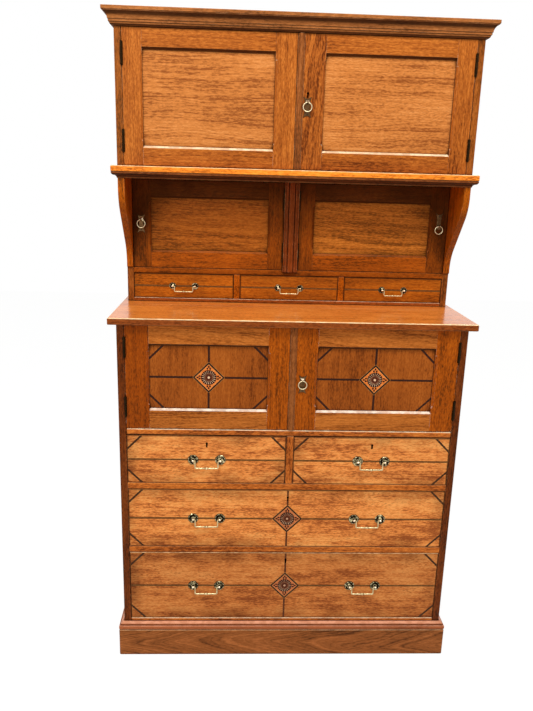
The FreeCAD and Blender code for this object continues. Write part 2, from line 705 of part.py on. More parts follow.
def make_hutch():
    pieces = []
    for side in (-1, 1):
        pieces.append(board(f"hutch_side{side}",
                            span_from(0 * half_hutch, side, hutch_inner, half_hutch),
                            (recess_front, back), (z_hutch, z_shelf)))
    node("hutch_sides", *pieces)

    wide = (-hutch_inner, hutch_inner)
    foot = board("hutch_foot", wide, (recess_front, back_inner), (z_hutch, z_small_drawers))
    floor = board("hutch_floor", wide, (recess_front, back_inner), (z_hutch_floor, z_recess))
    half_post = S.post_width / 2
    rails = [foot, floor]
    for side in (-1, 1):
        x = span_from(0 * half_post, side, half_post, hutch_inner)
        rails.append(board(f"frieze_rail{side}", x, (recess_front, recess_front + S.door_board),
                           (z_frieze, z_shelf)))
    rails.append(board("shelf_fascia", wide, (upper_front, upper_front + S.fascia_board),
                       (z_fascia, z_shelf)))
    rails.append(pair_stop("upper", upper_front, z_upper_top))
    rails.extend(recess_stops())
    node("hutch_rails", *rails)

    # The front edge of a bracket: straight, a sweep out, a slope, a sweep back, straight.
    slope = math.radians(float(S.bracket_turn))
    out = S.bracket_radius * (1 - math.cos(slope))
    down = S.bracket_radius * math.sin(slope)
    foot_y = S.bracket_foot * -1
    top_y = upper_front - recess_front
    top_z = z_shelf - z_recess
    first = top_z - S.bracket_drop - S.shelf_moulding_height
    middle_run = (foot_y - top_y - out * 2) / math.tan(slope)
    second = first - down
    third = second - middle_run
    fourth = third - down
    nose = S.bracket_nose
    corners = (
        (0 * nose, 0 * nose), (0 * nose, top_z), (top_y, top_z), (top_y, first),
        (top_y + out, second, S.bracket_radius), (foot_y - out, third),
        (foot_y, fourth, -S.bracket_radius), (foot_y, nose), (foot_y + nose, 0 * nose, nose))
    pieces = []
    for side in (-1, 1):
        start = half_hutch if side > 0 else -hutch_inner
        body = padded(f"bracket{side}", corners, S.hutch_side_board,
                      facing((0, 1, 0), UP), (start - S.hutch_side_board, recess_front, z_recess))
        if side < 0:
            bind_place(body, -half_hutch, recess_front, z_recess)
        pieces.append(body)
    node("scroll_brackets", *pieces)
    make_post(half_post)


def make_post(half_post):
    """The post between the recessed doors: three reeds, hinges let into both flanks."""
    groove = S.reed_groove
    deep = S.reed_deep
    proud = S.post_proud
    behind = S.post_depth
    inner_reed = S.middle_reed / 2
    outer_reed = half_post - S.post_flat
    arris = S.reed_arris
    corners = (
        (-half_post, behind), (-half_post, -proud + deep), (-outer_reed, -proud + deep),
        (-outer_reed, arris - proud), (arris - outer_reed, -proud),
        (-inner_reed - groove / 2, -proud), (-inner_reed, -proud + deep),
        (-inner_reed + groove / 2, -proud),
        (inner_reed - groove / 2, -proud), (inner_reed, -proud + deep),
        (inner_reed + groove / 2, -proud),
        (outer_reed - arris, -proud), (outer_reed, arris - proud),
        (outer_reed, -proud + deep), (half_post, -proud + deep), (half_post, behind))
    foot = z_recess - S.post_lap
    post = padded("post_blank", corners, z_shelf - foot, facing((1, 0, 0), (0, 1, 0)),
                  (0 * foot, recess_front, foot))
    lap = board("post_lap", (-half_post, half_post), (recess_front, recess_front + behind),
                (foot, z_recess))
    post = cut("post_lapped", post, lap)
    low = z_recess + S.door_gap
    high = z_frieze - S.door_gap
    for index, height in enumerate(hinge_heights(low, high, S.recess_hinge_from_end)):
        for side in (-1, 1):
            post = cut(f"post_hinge{index}{side}", post,
                       *hinge_cuts(f"post{index}{side}", half_post * side, -side,
                                   recess_front, height))
    node("reeded_post", post)


def make_shelf_and_upper():
    node("through_shelf", softened_top("shelf", half_hutch + S.shelf_side,
                                       upper_front - S.shelf_front, z_shelf, z_shelf_top,
                                       hutch_inner))
    reach = S.shelf_moulding_out
    high = S.shelf_moulding_height
    # An ogee under a square lip, in shares of the moulding's reach and height.
    low_lip = 0.12 * reach
    middle = (reach + low_lip) / 2
    profile = ((0 * reach, 0 * high), (low_lip, 0 * high), (low_lip, 0.1 * high),
               (middle, 0.45 * high, -0.5 * reach), (reach, 0.82 * high, 0.5 * reach),
               (reach, high), (0 * reach, high))
    node("shelf_moulding", *moulding("shelf_mould", profile, reach, half_hutch, upper_front,
                                     z_fascia, high))

    foot = z_shelf_top + S.door_gap
    top = z_upper_top - S.door_gap
    pieces = []
    for side in (-1, 1):
        piece = board(f"upper_side{side}",
                      span_from(0 * half_hutch, side, hutch_inner, half_hutch),
                      (upper_front, back), (z_shelf_top, z_upper_top))
        for index, low in enumerate(hinge_heights(foot, top, S.hinge_from_end)):
            piece = cut(f"upper_side{side}_hinge{index}", piece,
                        *hinge_cuts(f"upper_side{side}_{index}", hutch_inner * side, side,
                                    upper_front, low))
        pieces.append(piece)
    node("upper_sides", *pieces)

    wide = (-hutch_inner, hutch_inner)
    top_board_top = z_upper_top + S.upper_top_board
    ground = S.cornice_ground
    ground_top = z_top - S.cornice_lip
    top_board = cut("upper_top_let",
                    board("upper_top", (-half_hutch, half_hutch), (upper_front, back),
                          (z_upper_top, top_board_top)),
                    board("upper_top_notch", wide, (back_inner, back),
                          (z_upper_top, top_board_top)))
    grounds = [board("cornice_ground_front", (-half_hutch, half_hutch),
                     (upper_front, upper_front + ground), (top_board_top, ground_top)),
               board("cornice_ground_back", (ground - half_hutch, half_hutch - ground),
                     (back_inner - ground, back_inner), (top_board_top, ground_top))]
    for side in (-1, 1):
        grounds.append(board(f"cornice_ground{side}",
                             span_from(half_hutch * side, -side, 0 * ground, ground),
                             (upper_front + ground, back_inner), (top_board_top, ground_top)))
    node("upper_top_board", top_board, *grounds)

    node("cornice", *moulding("cornice_mould", cornice_profile(), S.cornice_out, half_hutch,
                              upper_front, z_upper_top, S.cornice_height))
    matched_boards("hutch_back_boards", hutch_inner, z_hutch, top_board_top)

    level = z_shelf_top + S.inner_shelf_place
    shelf_front = upper_front + S.door_board + S.lock_sheet + S.inner_shelf_clearance
    pieces = [board("inner_shelf", wide, (shelf_front, back_inner),
                    (level, level + S.inner_shelf_board))]
    for side in (-1, 1):
        pieces.append(board(f"shelf_bearer{side}",
                            span_from(hutch_inner * side, -side, 0 * S.bearer, S.bearer),
                            (shelf_front, back_inner), (level - S.bearer, level)))
    node("upper_inner_shelf", *pieces)


def cornice_profile():
    """From the foot: an ovolo, a fillet, a cove, a small step and a square fascia, all in
    shares of the cornice's reach and height.
    """
    out = S.cornice_out
    high = S.cornice_height
    return (
        (0 * out, 0 * high), (0.12 * out, 0 * high), (0.36 * out, 0.19 * high, 0.24 * out * 1.15),
        (0.44 * out, 0.19 * high), (0.44 * out, 0.33 * high), (0.5 * out, 0.33 * high),
        (0.88 * out, 0.74 * high, -0.48 * high), (0.94 * out, 0.74 * high),
        (0.94 * out, 0.79 * high), (out, 0.79 * high), (out, high), (0 * out, high))


# ---------------------------------------------------------------- doors

def ring_place(door):
    """The x of a ring pull or keyhole on a door, measured from its free edge."""
    return span_from(door["free_edge"], -door["side"], door["ring_in"], door["ring_in"])[0]


def keyhole(name, x, z, y):
    """A cutter: a round bow with a slot hanging from it, through a board."""
    bow = bar(name + "_bow", ROUND, "y", (x, y[0], z), y[1] - y[0], S.keyhole_bow)
    foot = z + S.keyhole_bow - S.keyhole_long
    slot = board(name + "_slot", (x - S.keyhole_slot / 2, x + S.keyhole_slot / 2), y, (foot, z))
    return fuse(name, bow, slot)


def stopped_chamfer(name, x, side, face, low, high):
    """A cutter for the 45 degree chamfer on a stile's arris, dying out short of each corner."""
    deep = S.stop_chamfer * math.sqrt(0.5)
    half = S.stop_chamfer
    middle_x = x - side * S.stop_chamfer / 2
    return taper(name, -deep, 0 * deep, (-half, -half), (half, half),
                 (low, low + S.stop_run), (high, high - S.stop_run),
                 Turn(V(0, 0, 1), 45 * side), (middle_x, face + S.stop_chamfer / 2, 0 * low))


def rail_chamfer(name, x, face, edge, up):
    """A cutter for the through chamfer on a rail's arris, which faces up (1) or down (-1)."""
    deep = S.stop_chamfer * math.sqrt(0.5)
    half = S.stop_chamfer
    return taper(name, -deep, 0 * deep, (x[0], x[0]), (x[1], x[1]), (-half, -half), (half, half),
                 Turn(V(1, 0, 0), -45 * up),
                 (0 * half, face + S.stop_chamfer / 2, edge - S.stop_chamfer / 2 * up))


def make_door(name, door):
    """A framed and panelled door: mortised stiles, tenoned rails and a loose panel.

    side is 1 where the free edge lies to the right of the hinges. Distances run from the
    hinge edge towards the free edge.
    """
    hinge_edge, side, face = door["hinge_edge"], door["side"], door["face"]
    foot, top, rail = door["foot"], door["top"], door["rail"]
    width = (door["free_edge"] - hinge_edge) * side
    near = door["hinge_stile"]
    far = width - door["free_stile"]
    thick = (face, face + S.door_board)
    groove_y = (face + S.panel_sunk, face + S.panel_sunk + S.panel_board)
    inner_foot = foot + rail
    inner_top = top - rail
    tongue = S.panel_tongue
    zero = 0 * width

    def at(low, high):
        return span_from(hinge_edge, side, low, high)

    held_back = tongue + S.tenon_from_groove
    tenon_levels = ((foot + S.tenon_shoulder, inner_foot - held_back),
                    (inner_top + held_back, top - S.tenon_shoulder))

    def stile(label, x_from, x_to, edge, inward):
        """inward is 1 where the panel lies on the far side of this stile."""
        blank = board(label, at(x_from, x_to), thick, (foot, top))
        groove = board(label + "_groove",
                       at(edge - tongue, edge) if inward > 0 else at(edge, edge + tongue),
                       groove_y, (inner_foot - tongue, inner_top + tongue))
        cutters = [groove]
        reach = S.tenon_reach
        for index, levels in enumerate(tenon_levels):
            place = at(edge - reach, edge) if inward > 0 else at(edge, edge + reach)
            cutters.append(board(f"{label}_mortise{index}", place, groove_y, levels))
        arris = hinge_edge + edge * side
        cutters.append(stopped_chamfer(label + "_chamfer", arris, side * inward, face,
                                       inner_foot + S.stop_from_corner,
                                       inner_top - S.stop_from_corner))
        return cut(label, blank, *cutters)

    def rail_board(label, levels, tenon, edge, up):
        blank = board(label, at(near, far), thick, levels)
        tenons = board(label + "_tenons", at(near - S.tenon_reach, far + S.tenon_reach),
                       groove_y, tenon)
        joined = fuse(label + "_tenoned", blank, tenons)
        groove_z = (edge - tongue, edge) if up > 0 else (edge, edge + tongue)
        groove = board(label + "_groove", at(near, far), groove_y, groove_z)
        return cut(label, joined, groove, rail_chamfer(label + "_chamfer", at(near, far), face,
                                                       edge, up))

    hinge_stile = stile(name + "_hinge_stile", zero, near, near, 1)
    heights = hinge_heights(foot, top, door["hinge_from_end"])
    for index, low in enumerate(heights):
        hinge_stile = cut(f"{name}_hinged{index}", hinge_stile,
                          *hinge_cuts(f"{name}_{index}", hinge_edge, side, face, low))
    free_stile = stile(name + "_free_stile", far, width, far, -1)
    if "keyhole" in door:
        free_stile = cut(name + "_key", free_stile,
                         keyhole(name + "_keyhole", ring_place(door), door["keyhole"], thick))
    loose = tongue - S.panel_play
    pieces = [
        hinge_stile, free_stile,
        rail_board(name + "_foot_rail", (foot, inner_foot), tenon_levels[0], inner_foot, 1),
        rail_board(name + "_top_rail", (inner_top, top), tenon_levels[1], inner_top, -1),
        board(name + "_panel", at(near - loose, far + loose), groove_y,
              (inner_foot - loose, inner_top + loose))]
    if door.get("bead"):
        pieces.append(meeting_bead(name, door))
    node(name, *pieces)
    make_door_fittings(name, door, heights)


def meeting_bead(name, door):
    """A half-round bead with a quirk each side, planted on the closing stile."""
    width, out, quirk = S.bead_width, S.bead_out, S.bead_quirk
    base = S.bead_base
    chord = width - quirk * 2
    rise = out - base
    radius = (chord * chord / 4 + rise * rise) / (rise * 2)
    zero = 0 * width
    corners = ((zero, zero), (zero, base), (quirk, base), (width - quirk, base, -radius),
               (width, base), (width, zero))
    return padded(name + "_bead", corners, door["top"] - door["foot"],
                  facing(OUT_LEFT, OUT_FRONT),
                  (door["free_edge"] + width, door["face"], door["foot"]))


def hinge_leaf(name, edge, side, face, low, knuckles):
    """The pieces of one leaf: its plate, and a knuckle with a neck at each pair of heights."""
    centre = edge - side * S.door_gap / 2
    axis_y = face - S.knuckle_proud
    clear = axis_y + S.knuckle_radius + S.knuckle_clearance
    thick = span_from(edge, side, 0 * S.leaf_sheet, S.leaf_sheet)
    pieces = [board(name + "_plate", thick, (clear, face + S.leaf_deep),
                    (low, low + S.hinge_long))]
    for index, (foot, high) in enumerate(knuckles):
        pieces.append(board(f"{name}_neck{index}", thick, (axis_y, clear), (foot, high)))
        pieces.append(bar(f"{name}_knuckle{index}", ROUND, "z", (centre, axis_y, foot),
                          high - foot, S.knuckle_radius))
    return pieces


def knuckle_levels(low):
    """The three knuckles of a hinge, with a hair of room between them."""
    third = S.hinge_long / 3
    room = S.pin_clearance
    middle = (low + third + room, low + third * 2 - room)
    return middle, ((low, low + third), (low + third * 2, low + S.hinge_long))


frame_leaves = []


def make_hinges(name, door, heights):
    """Butt hinges: the moving leaves are returned; the fixed ones hold the pins.

    Round faces take many facets, so only the lower hinge of a door has a truly round pin.
    """
    face, side, edge = door["face"], door["side"], door["hinge_edge"]
    centre = edge - side * S.door_gap / 2
    moving = []
    for index, low in enumerate(heights):
        middle, outer = knuckle_levels(low)
        place = (centre, face - S.knuckle_proud, low)
        label = f"{name}_leaf{index}"
        leaf = fuse(label + "_body", *hinge_leaf(label, edge, side, face, low, (middle,)))
        bore = bar(label + "_bore", SLIM, "z", place, S.hinge_long,
                   (S.hinge_pin_radius + S.pin_clearance) * SLIM_OVER)
        moving.append(cut(label, leaf, bore))
        label = f"{name}_frame_leaf{index}"
        pieces = hinge_leaf(label, edge - side * S.door_gap, -side, face, low, outer)
        if index == 0:
            pin = round_bar(label + "_pin", "z", place, S.hinge_long, S.hinge_pin_radius)
        else:
            pin = bar(label + "_pin", SLIM, "z", place, S.hinge_long, S.hinge_pin_radius)
        frame_leaves.append(fuse(label, *pieces, pin))
    return moving


def make_door_fittings(name, door, heights):
    pieces = make_hinges(name, door, heights)
    if "ring_in" in door:
        place = (ring_place(door), door["ring_level"], door["face"], door.get("ring_flip", 1))
        pieces.append(ring_plate(name, *place))
        ring(name + "_ring", *place)
    if "keyhole" in door:
        behind = door["face"] + S.door_board
        x = ring_place(door)
        half = S.lock_high / 2
        pieces.append(board(name + "_lock", (x - half, x + half), (behind, behind + S.lock_sheet),
                            (door["keyhole"] - S.lock_wide / 2, door["keyhole"] + S.lock_wide / 2)))
    node(name + "_fittings", *pieces)


def ring_plate(name, x, level, face, flip):
    """A waisted plate with a fishtail at both ends; flip is -1 where it hangs upside down."""
    half = S.ring_plate_wide / 2
    up = S.ring_plate_high / 2
    body = S.ring_plate_body / 2
    waist = S.ring_plate_waist / 2
    shoulder = up - S.ring_plate_horn
    dip = S.ring_plate_dip / 2
    notch = up - S.ring_plate_notch
    corners = (
        (body, -shoulder), (waist, 0 * up), (body, shoulder), (half, up),
        (dip, notch), (-dip, notch), (-half, up),
        (-body, shoulder), (-waist, 0 * up), (-body, -shoulder), (-half, -up),
        (-dip, -notch), (dip, -notch), (half, -up))
    plate = padded(name + "_ring_plate_outline", corners, S.ring_plate_sheet,
                   facing(OUT_RIGHT, UP), (x, face, level))
    nail = bar(name + "_nail_hole", SLIM, "y",
               (x, face - S.ring_plate_sheet, level - S.ring_nail_place * flip),
               S.ring_plate_sheet, S.ring_nail)
    axis = level + S.ring_lug_place * flip
    wall = S.ring_wire + S.ring_lug_wall
    foot = S.ring_boss / 2
    boss = taper(name + "_boss", -S.ring_reach - wall, -S.ring_plate_sheet,
                 (-S.ring_lug / 2, -S.ring_boss_wide / 2), (S.ring_lug / 2, S.ring_boss_wide / 2),
                 (-wall, -foot), (wall, foot), None, (x, face, axis))
    eye = bar(name + "_eye", ROUND, "x", (x - half, face - S.ring_reach, axis), half * 2,
              (S.ring_wire + S.ring_eye_clearance) * ROUND_OVER)
    return cut(name + "_ring_plate", fuse(name + "_plate_boss", plate, boss), eye, nail)


def ring(name, x, level, face, flip):
    """A ring of six-sided wire bent round twelve sides; its top side lies in the lug."""
    sides = 12
    corner_radius = S.ring_radius / math.cos(math.pi / sides)
    axis = level + S.ring_lug_place * flip
    circle = doc.addObject("Part::RegularPolygon", name + "_round")
    circle.Polygon = sides
    upright = Turn(V(1, 0, 0), 90).multiply(Turn(V(0, 0, 1), 180 / sides))
    circle.Placement = FreeCAD.Placement(V(0, 0, 0), upright)
    bind(circle, "Circumradius", corner_radius)
    wire = doc.addObject("Part::RegularPolygon", name + "_wire")
    wire.Polygon = SLIM
    wire.Placement = FreeCAD.Placement(V(0, 0, 0), Turn(V(0, 0, 1), 180 / SLIM))
    bind(wire, "Circumradius", S.ring_wire)
    bind(wire, ".Placement.Base.x", S.ring_radius)
    doc.recompute()
    sweep = doc.addObject("Part::Sweep", name + "_sweep")
    sweep.Sections = [wire]
    sweep.Spine = (circle, [f"Edge{index + 1}" for index in range(sides)])
    sweep.Solid = True
    sweep.Transition = "Right corner"
    bind_place(sweep, x, face - S.ring_reach, axis - S.ring_radius)
    node(name, sweep)


# ---------------------------------------------------------------- handles

def open_path(name, points, rotation, at):
    """A line of straight runs, bound to the sheet, for a bar to be bent along."""
    sketch = doc.addObject("Sketcher::SketchObject", name)
    sketch.Placement = FreeCAD.Placement(V(0, 0, 0), rotation)
    bind_place(sketch, *at)
    for start, end in zip(points, points[1:]):
        sketch.addGeometry(Part.LineSegment(V(*map(float, start), 0), V(*map(float, end), 0)), False)
    for index, point in enumerate(points):
        line, which = (0, 1) if index == 0 else (index - 1, 2)
        if 0 < index < len(points) - 1:
            sketch.addConstraint(Sketcher.Constraint("Coincident", line, 2, line + 1, 1))
        for kind, value in zip(("DistanceX", "DistanceY"), point):
            number = sketch.addConstraint(
                Sketcher.Constraint(kind, -1, 1, line, which, float(value)))
            bind(sketch, f"Constraints[{number}]", value)
    return sketch


def make_bail(name, x, y, z, style):
    """A bail of flat-sided bar with square corners, a bead at its middle and a pin each end."""
    half = style["arms"] / 2
    bar_radius = style["bar"]
    drop = style["drop"]
    points = ((-half, bar_radius), (-half, -drop), (half, -drop), (half, bar_radius))
    path = open_path(name + "_path", points, facing(OUT_RIGHT, UP), (x, y, z))
    section = doc.addObject("Part::RegularPolygon", name + "_section")
    section.Polygon = SLIM
    section.Placement = FreeCAD.Placement(V(0, 0, 0), Turn(V(0, 0, 1), 180 / SLIM))
    bind(section, "Circumradius", bar_radius)
    bind_place(section, x - half, y, z + bar_radius)
    doc.recompute()
    sweep = doc.addObject("Part::Sweep", name + "_bar")
    sweep.Sections = [section]
    sweep.Spine = (path, ["Edge1", "Edge2", "Edge3"])
    sweep.Solid = True
    sweep.Transition = "Right corner"
    pieces = [sweep]
    reach = style["spread"] / 2 + S.bail_pin_past
    for side in (-1, 1):
        start = x - reach if side < 0 else x + half
        pieces.append(bar(f"{name}_pin{side}", SLIM, "x", (start, y, z), reach - half,
                          S.bail_pin))
    pieces.append(bar(name + "_bead", SLIM, "x", (x - style["bead"], y, z - drop),
                      style["bead"] * 2, style["bead"]))
    node(name, fuse(name + "_whole", *pieces))


def make_posts(name, x, z, face, style, front_board):
    """Both posts of a handle, each bored for the bail, with its rose, its bolt and its nut."""
    pieces = []
    for side in (-1, 1):
        label = f"{name}_post{side}"
        place = x + style["spread"] / 2 * side
        rose = bar(label + "_rose", ROUND, "y", (place, face - S.rose_plate, z),
                   S.rose_plate, style["rose"])
        tip = S.post_reach + S.bail_pin + S.post_wall
        post = bar(label + "_post", SLIM, "y", (place, face - tip, z), tip, S.post_radius)
        bolt = bar(label + "_bolt", SLIM, "y", (place, face, z), front_board, S.bolt_radius)
        inside = face + front_board
        half_nut = S.bolt_nut / 2
        nut = board(label + "_nut", (place - half_nut, place + half_nut),
                    (inside, inside + S.nut_sheet), (z - half_nut, z + half_nut))
        whole = fuse(label + "_whole", rose, post, bolt, nut)
        bore = bar(label + "_bore", SLIM, "x", (place - style["rose"], face - S.post_reach, z),
                   style["rose"] * 2, (S.bail_pin + S.pin_bore_clearance) * SLIM_OVER)
        pieces.append(cut(label, whole, bore))
    return pieces


# ---------------------------------------------------------------- drawers

def dovetails(name, x, face, z, count, front_board):
    """The tails of a drawer side: cutters for the front and material for the side."""
    pitch = (z[1] - z[0]) / count
    tip = face + S.dovetail_lap
    shoulder = face + front_board
    wide = (pitch - S.dovetail_pin) / 2
    narrow = wide - S.dovetail_flare
    tails = []
    for index in range(count):
        centre = z[0] + pitch * (index + 0.5)
        tails.append(taper(f"{name}_tail{index}", tip, shoulder, (x[0], x[0]), (x[1], x[1]),
                           (centre - wide, centre - narrow), (centre + wide, centre + narrow)))
    return tails


def make_drawer(name, drawer):
    """A drawer: lap-dovetailed front, grooved bottom and a back housed in the sides."""
    style = drawer["style"]
    face = drawer["face"]
    left = drawer["x"][0] + S.drawer_side_gap
    right = drawer["x"][1] - S.drawer_side_gap
    foot = drawer["z"][0] + S.drawer_foot_gap
    top = drawer["z"][1] - S.drawer_top_gap
    thick = drawer["side_board"]
    front_board = S.drawer_front_board
    end = drawer["end"]
    behind = face + front_board
    side_top = top - S.side_below_front
    bottom_z = (foot + S.bottom_raise, foot + S.bottom_raise + drawer["bottom_board"])
    groove = S.bottom_groove
    inside = (left + thick, right - thick)
    level = (foot + top) / 2

    front = board(name + "_front_blank", (left, right), (face, behind), (foot, top))
    front_groove = board(name + "_front_groove", inside, (behind - groove, behind), bottom_z)
    cutters = [front_groove]
    sides = []
    back_board = (end - thick, end)
    back_z = (bottom_z[1], side_top - S.back_below_side)
    housed = (inside[0] - S.back_housing, inside[1] + S.back_housing)
    rear = board(name + "_back", housed, back_board, back_z)
    for side, x in ((-1, (left, left + thick)), (1, (right - thick, right))):
        label = f"{name}_side{side}"
        blank = board(label + "_blank", x, (behind, end), (foot, side_top))
        tails = dovetails(label, x, face, (foot, side_top), drawer["tails"], front_board)
        cutters.extend(tails)
        groove_x = (x[1] - groove, x[1]) if side < 0 else (x[0], x[0] + groove)
        housing_x = ((x[1] - S.back_housing, x[1]) if side < 0
                     else (x[0], x[0] + S.back_housing))
        sides.append(cut(label, fuse(label + "_tailed", blank, *tails),
                         board(label + "_groove", groove_x, (behind, end), bottom_z),
                         board(label + "_housing", housing_x, back_board, back_z)))
    bottom = fuse(name + "_bottom",
                  board(name + "_bottom_wide", (inside[0] - groove, inside[1] + groove),
                        (behind, end), bottom_z),
                  board(name + "_bottom_edge", inside, (behind - groove, behind), bottom_z))

    fittings = []
    for index, x in enumerate(drawer["handles"]):
        for side in (-1, 1):
            place = x + style["spread"] / 2 * side
            cutters.append(bar(f"{name}_bolt_hole{index}{side}", SLIM, "y",
                               (place, face, level), front_board,
                               S.bolt_radius + S.bolt_clearance))
        fittings.extend(make_posts(f"{name}_handle{index}", x, level, face, style, front_board))
        tag = "_bail" if len(drawer["handles"]) == 1 else ("_bail_left", "_bail_right")[index]
        make_bail(name + tag, x, face - S.post_reach, level, style)
    if "keyhole" in drawer:
        x = drawer["keyhole"]
        place = top - S.keyhole_below_top
        cutters.append(keyhole(name + "_keyhole", x, place, (face, behind)))
        half = S.lock_wide / 2
        fittings.append(board(name + "_lock", (x - half, x + half),
                              (behind, behind + S.lock_sheet), (top - S.lock_high, top)))
    node(name, cut(name + "_front", front, *cutters), *sides, rear, bottom)
    node(name + "_fittings", *fittings)


# ---------------------------------------------------------------- the press

def make_doors():
    seam = -S.bead_width / 2
    left_free = seam - S.meeting_gap / 2
    right_free = seam + S.meeting_gap / 2
    pairs = (
        ("upper_door", hutch_inner, upper_front, z_shelf_top, z_upper_top, S.upper_door_rail,
         S.upper_hinge_stile, S.upper_closing_edge, S.ring_from_meeting, S.upper_ring_height,
         S.upper_keyhole_height),
        ("lower_door", base_inner, base_front, z_lower_doors, z_base_top, S.lower_door_rail,
         S.lower_hinge_stile, S.lower_closing_edge, S.lower_ring_from_meeting,
         S.lower_ring_height, None))
    for (name, inner, face, low, high, rail, hinge_stile, closing_edge, ring_in, ring_height,
         key_height) in pairs:
        foot = low + S.door_gap
        shared = {"face": face, "foot": foot, "top": high - S.door_gap, "rail": rail,
                  "hinge_stile": hinge_stile, "hinge_from_end": S.hinge_from_end}
        make_door(name + "_left", dict(
            shared, hinge_edge=S.door_gap - inner, side=1, free_edge=left_free,
            free_stile=closing_edge + left_free))
        right = dict(
            shared, hinge_edge=inner - S.door_gap, side=-1, free_edge=right_free,
            free_stile=closing_edge - right_free, bead=True, ring_in=ring_in,
            ring_level=foot + ring_height)
        if key_height is not None:
            right["keyhole"] = foot + key_height
        make_door(name + "_right", right)
    for name, side, ring_height in (("recess_door_left", -1, S.left_ring_height),
                                    ("recess_door_right", 1, S.right_ring_height)):
        foot = z_recess + S.door_gap
        make_door(name, {
            "hinge_edge": (S.post_width / 2 + S.door_gap) * side, "side": side,
            "free_edge": (hutch_inner - S.door_gap) * side, "face": recess_front,
            "foot": foot, "top": z_frieze - S.door_gap, "rail": S.recess_door_rail,
            "hinge_stile": S.recess_post_stile, "free_stile": S.recess_outer_stile,
            "hinge_from_end": S.recess_hinge_from_end, "ring_in": S.recess_ring_from_edge,
            "ring_level": foot + ring_height, "ring_flip": -side})


def make_drawers():
    large = {"spread": S.handle_spread, "rose": S.handle_rose, "drop": S.bail_drop,
             "bar": S.bail_bar, "arms": S.bail_arms, "bead": S.bail_bead}
    small = {"spread": S.small_handle_spread, "rose": S.small_handle_rose,
             "drop": S.small_bail_drop, "bar": S.small_bail_bar, "arms": S.small_bail_arms,
             "bead": S.small_bail_bead}
    base = {"face": base_front, "end": back_inner - S.drawer_end_room,
            "side_board": S.drawer_side_board, "bottom_board": S.drawer_bottom_board,
            "style": large}
    wide = (-base_inner, base_inner)
    both = (-S.side_handle_place, S.side_handle_place)
    middle = 0 * half_base
    make_drawer("long_drawer_lower", dict(base, x=wide, z=(z_floor, z_low_rail), tails=4,
                                          handles=both, keyhole=middle))
    make_drawer("long_drawer_upper", dict(base, x=wide, z=(z_low_rail_top, z_mid_rail), tails=3,
                                          handles=both, keyhole=middle))
    half_divider = S.short_divider / 2
    for name, side in (("short_drawer_left", -1), ("short_drawer_right", 1)):
        x = span_from(0 * half_base, side, half_divider, base_inner)
        centre = (half_divider + base_inner) / 2 * side
        make_drawer(name, dict(base, x=x, z=(z_mid_rail_top, z_cupboard), tails=3,
                               handles=(centre,), keyhole=centre))
    half_small = S.small_divider / 2
    near = S.small_divider_place - half_small
    far = S.small_divider_place + half_small
    places = (("small_drawer_left", (-hutch_inner, -far), -S.outer_small_handle),
              ("small_drawer_middle", (-near, near), middle),
              ("small_drawer_right", (far, hutch_inner), S.outer_small_handle))
    for name, x, handle in places:
        make_drawer(name, {
            "face": recess_front, "end": back_inner - S.small_drawer_end_room,
            "side_board": S.small_side_board, "bottom_board": S.small_bottom_board,
            "style": small, "x": x, "z": (z_small_drawers, z_hutch_floor), "tails": 2,
            "handles": (handle,)})


def check_and_export():
    doc.recompute()
    for item in doc.Objects:
        if {"Invalid", "Error"} & set(item.State):
            raise RuntimeError(f"{item.Name} is {item.State}")
    os.makedirs("parts", exist_ok=True)
    for name, group in nodes.items():
        shape = group.Shape
        if shape.isNull() or not shape.isValid() or not shape.Solids:
            raise RuntimeError(f"{name} has no valid solid")
        shape.exportStep(os.path.join("parts", name + ".step"))
    print(len(nodes), "nodes,", sum(len(group.Shape.Solids) for group in nodes.values()), "solids")


make_base()
make_hutch()
make_shelf_and_upper()
make_doors()
make_drawers()
node("hinge_frame_leaves", *frame_leaves)
check_and_export()
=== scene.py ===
import json
import math
import random

import bmesh
import bpy
from mathutils import Matrix, Vector


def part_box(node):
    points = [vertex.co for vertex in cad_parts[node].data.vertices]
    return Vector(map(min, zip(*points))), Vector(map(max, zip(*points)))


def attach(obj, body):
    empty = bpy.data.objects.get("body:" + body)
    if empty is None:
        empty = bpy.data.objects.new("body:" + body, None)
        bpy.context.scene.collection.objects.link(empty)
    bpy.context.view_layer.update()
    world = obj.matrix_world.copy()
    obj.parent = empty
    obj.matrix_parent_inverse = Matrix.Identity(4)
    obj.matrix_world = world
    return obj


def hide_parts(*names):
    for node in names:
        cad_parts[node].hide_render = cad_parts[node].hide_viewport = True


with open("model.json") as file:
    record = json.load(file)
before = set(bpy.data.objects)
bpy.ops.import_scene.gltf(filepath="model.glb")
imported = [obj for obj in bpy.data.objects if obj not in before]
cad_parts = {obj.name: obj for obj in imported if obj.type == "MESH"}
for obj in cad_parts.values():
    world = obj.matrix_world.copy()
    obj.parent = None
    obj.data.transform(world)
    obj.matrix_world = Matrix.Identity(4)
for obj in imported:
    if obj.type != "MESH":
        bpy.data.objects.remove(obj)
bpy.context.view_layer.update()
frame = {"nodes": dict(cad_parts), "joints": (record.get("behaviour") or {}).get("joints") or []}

# The looks of a walnut linen press: polished boards with their own figure, stringing and
# marquetry let into the drawers and the lower doors, and cast brass handles, ring pulls and
# butt hinges. Metres throughout, in the frame of the construction model.

MM = 0.001
luck = random.Random(1887)


def paint(code):
    """Six hex digits as a linear colour."""
    shares = [int(code[index:index + 2], 16) / 255 for index in (0, 2, 4)]
    return tuple(s / 12.92 if s <= 0.04045 else ((s + 0.055) / 1.055) ** 2.4 for s in shares) + (1,)


# ---------------------------------------------------------------- wiring of materials

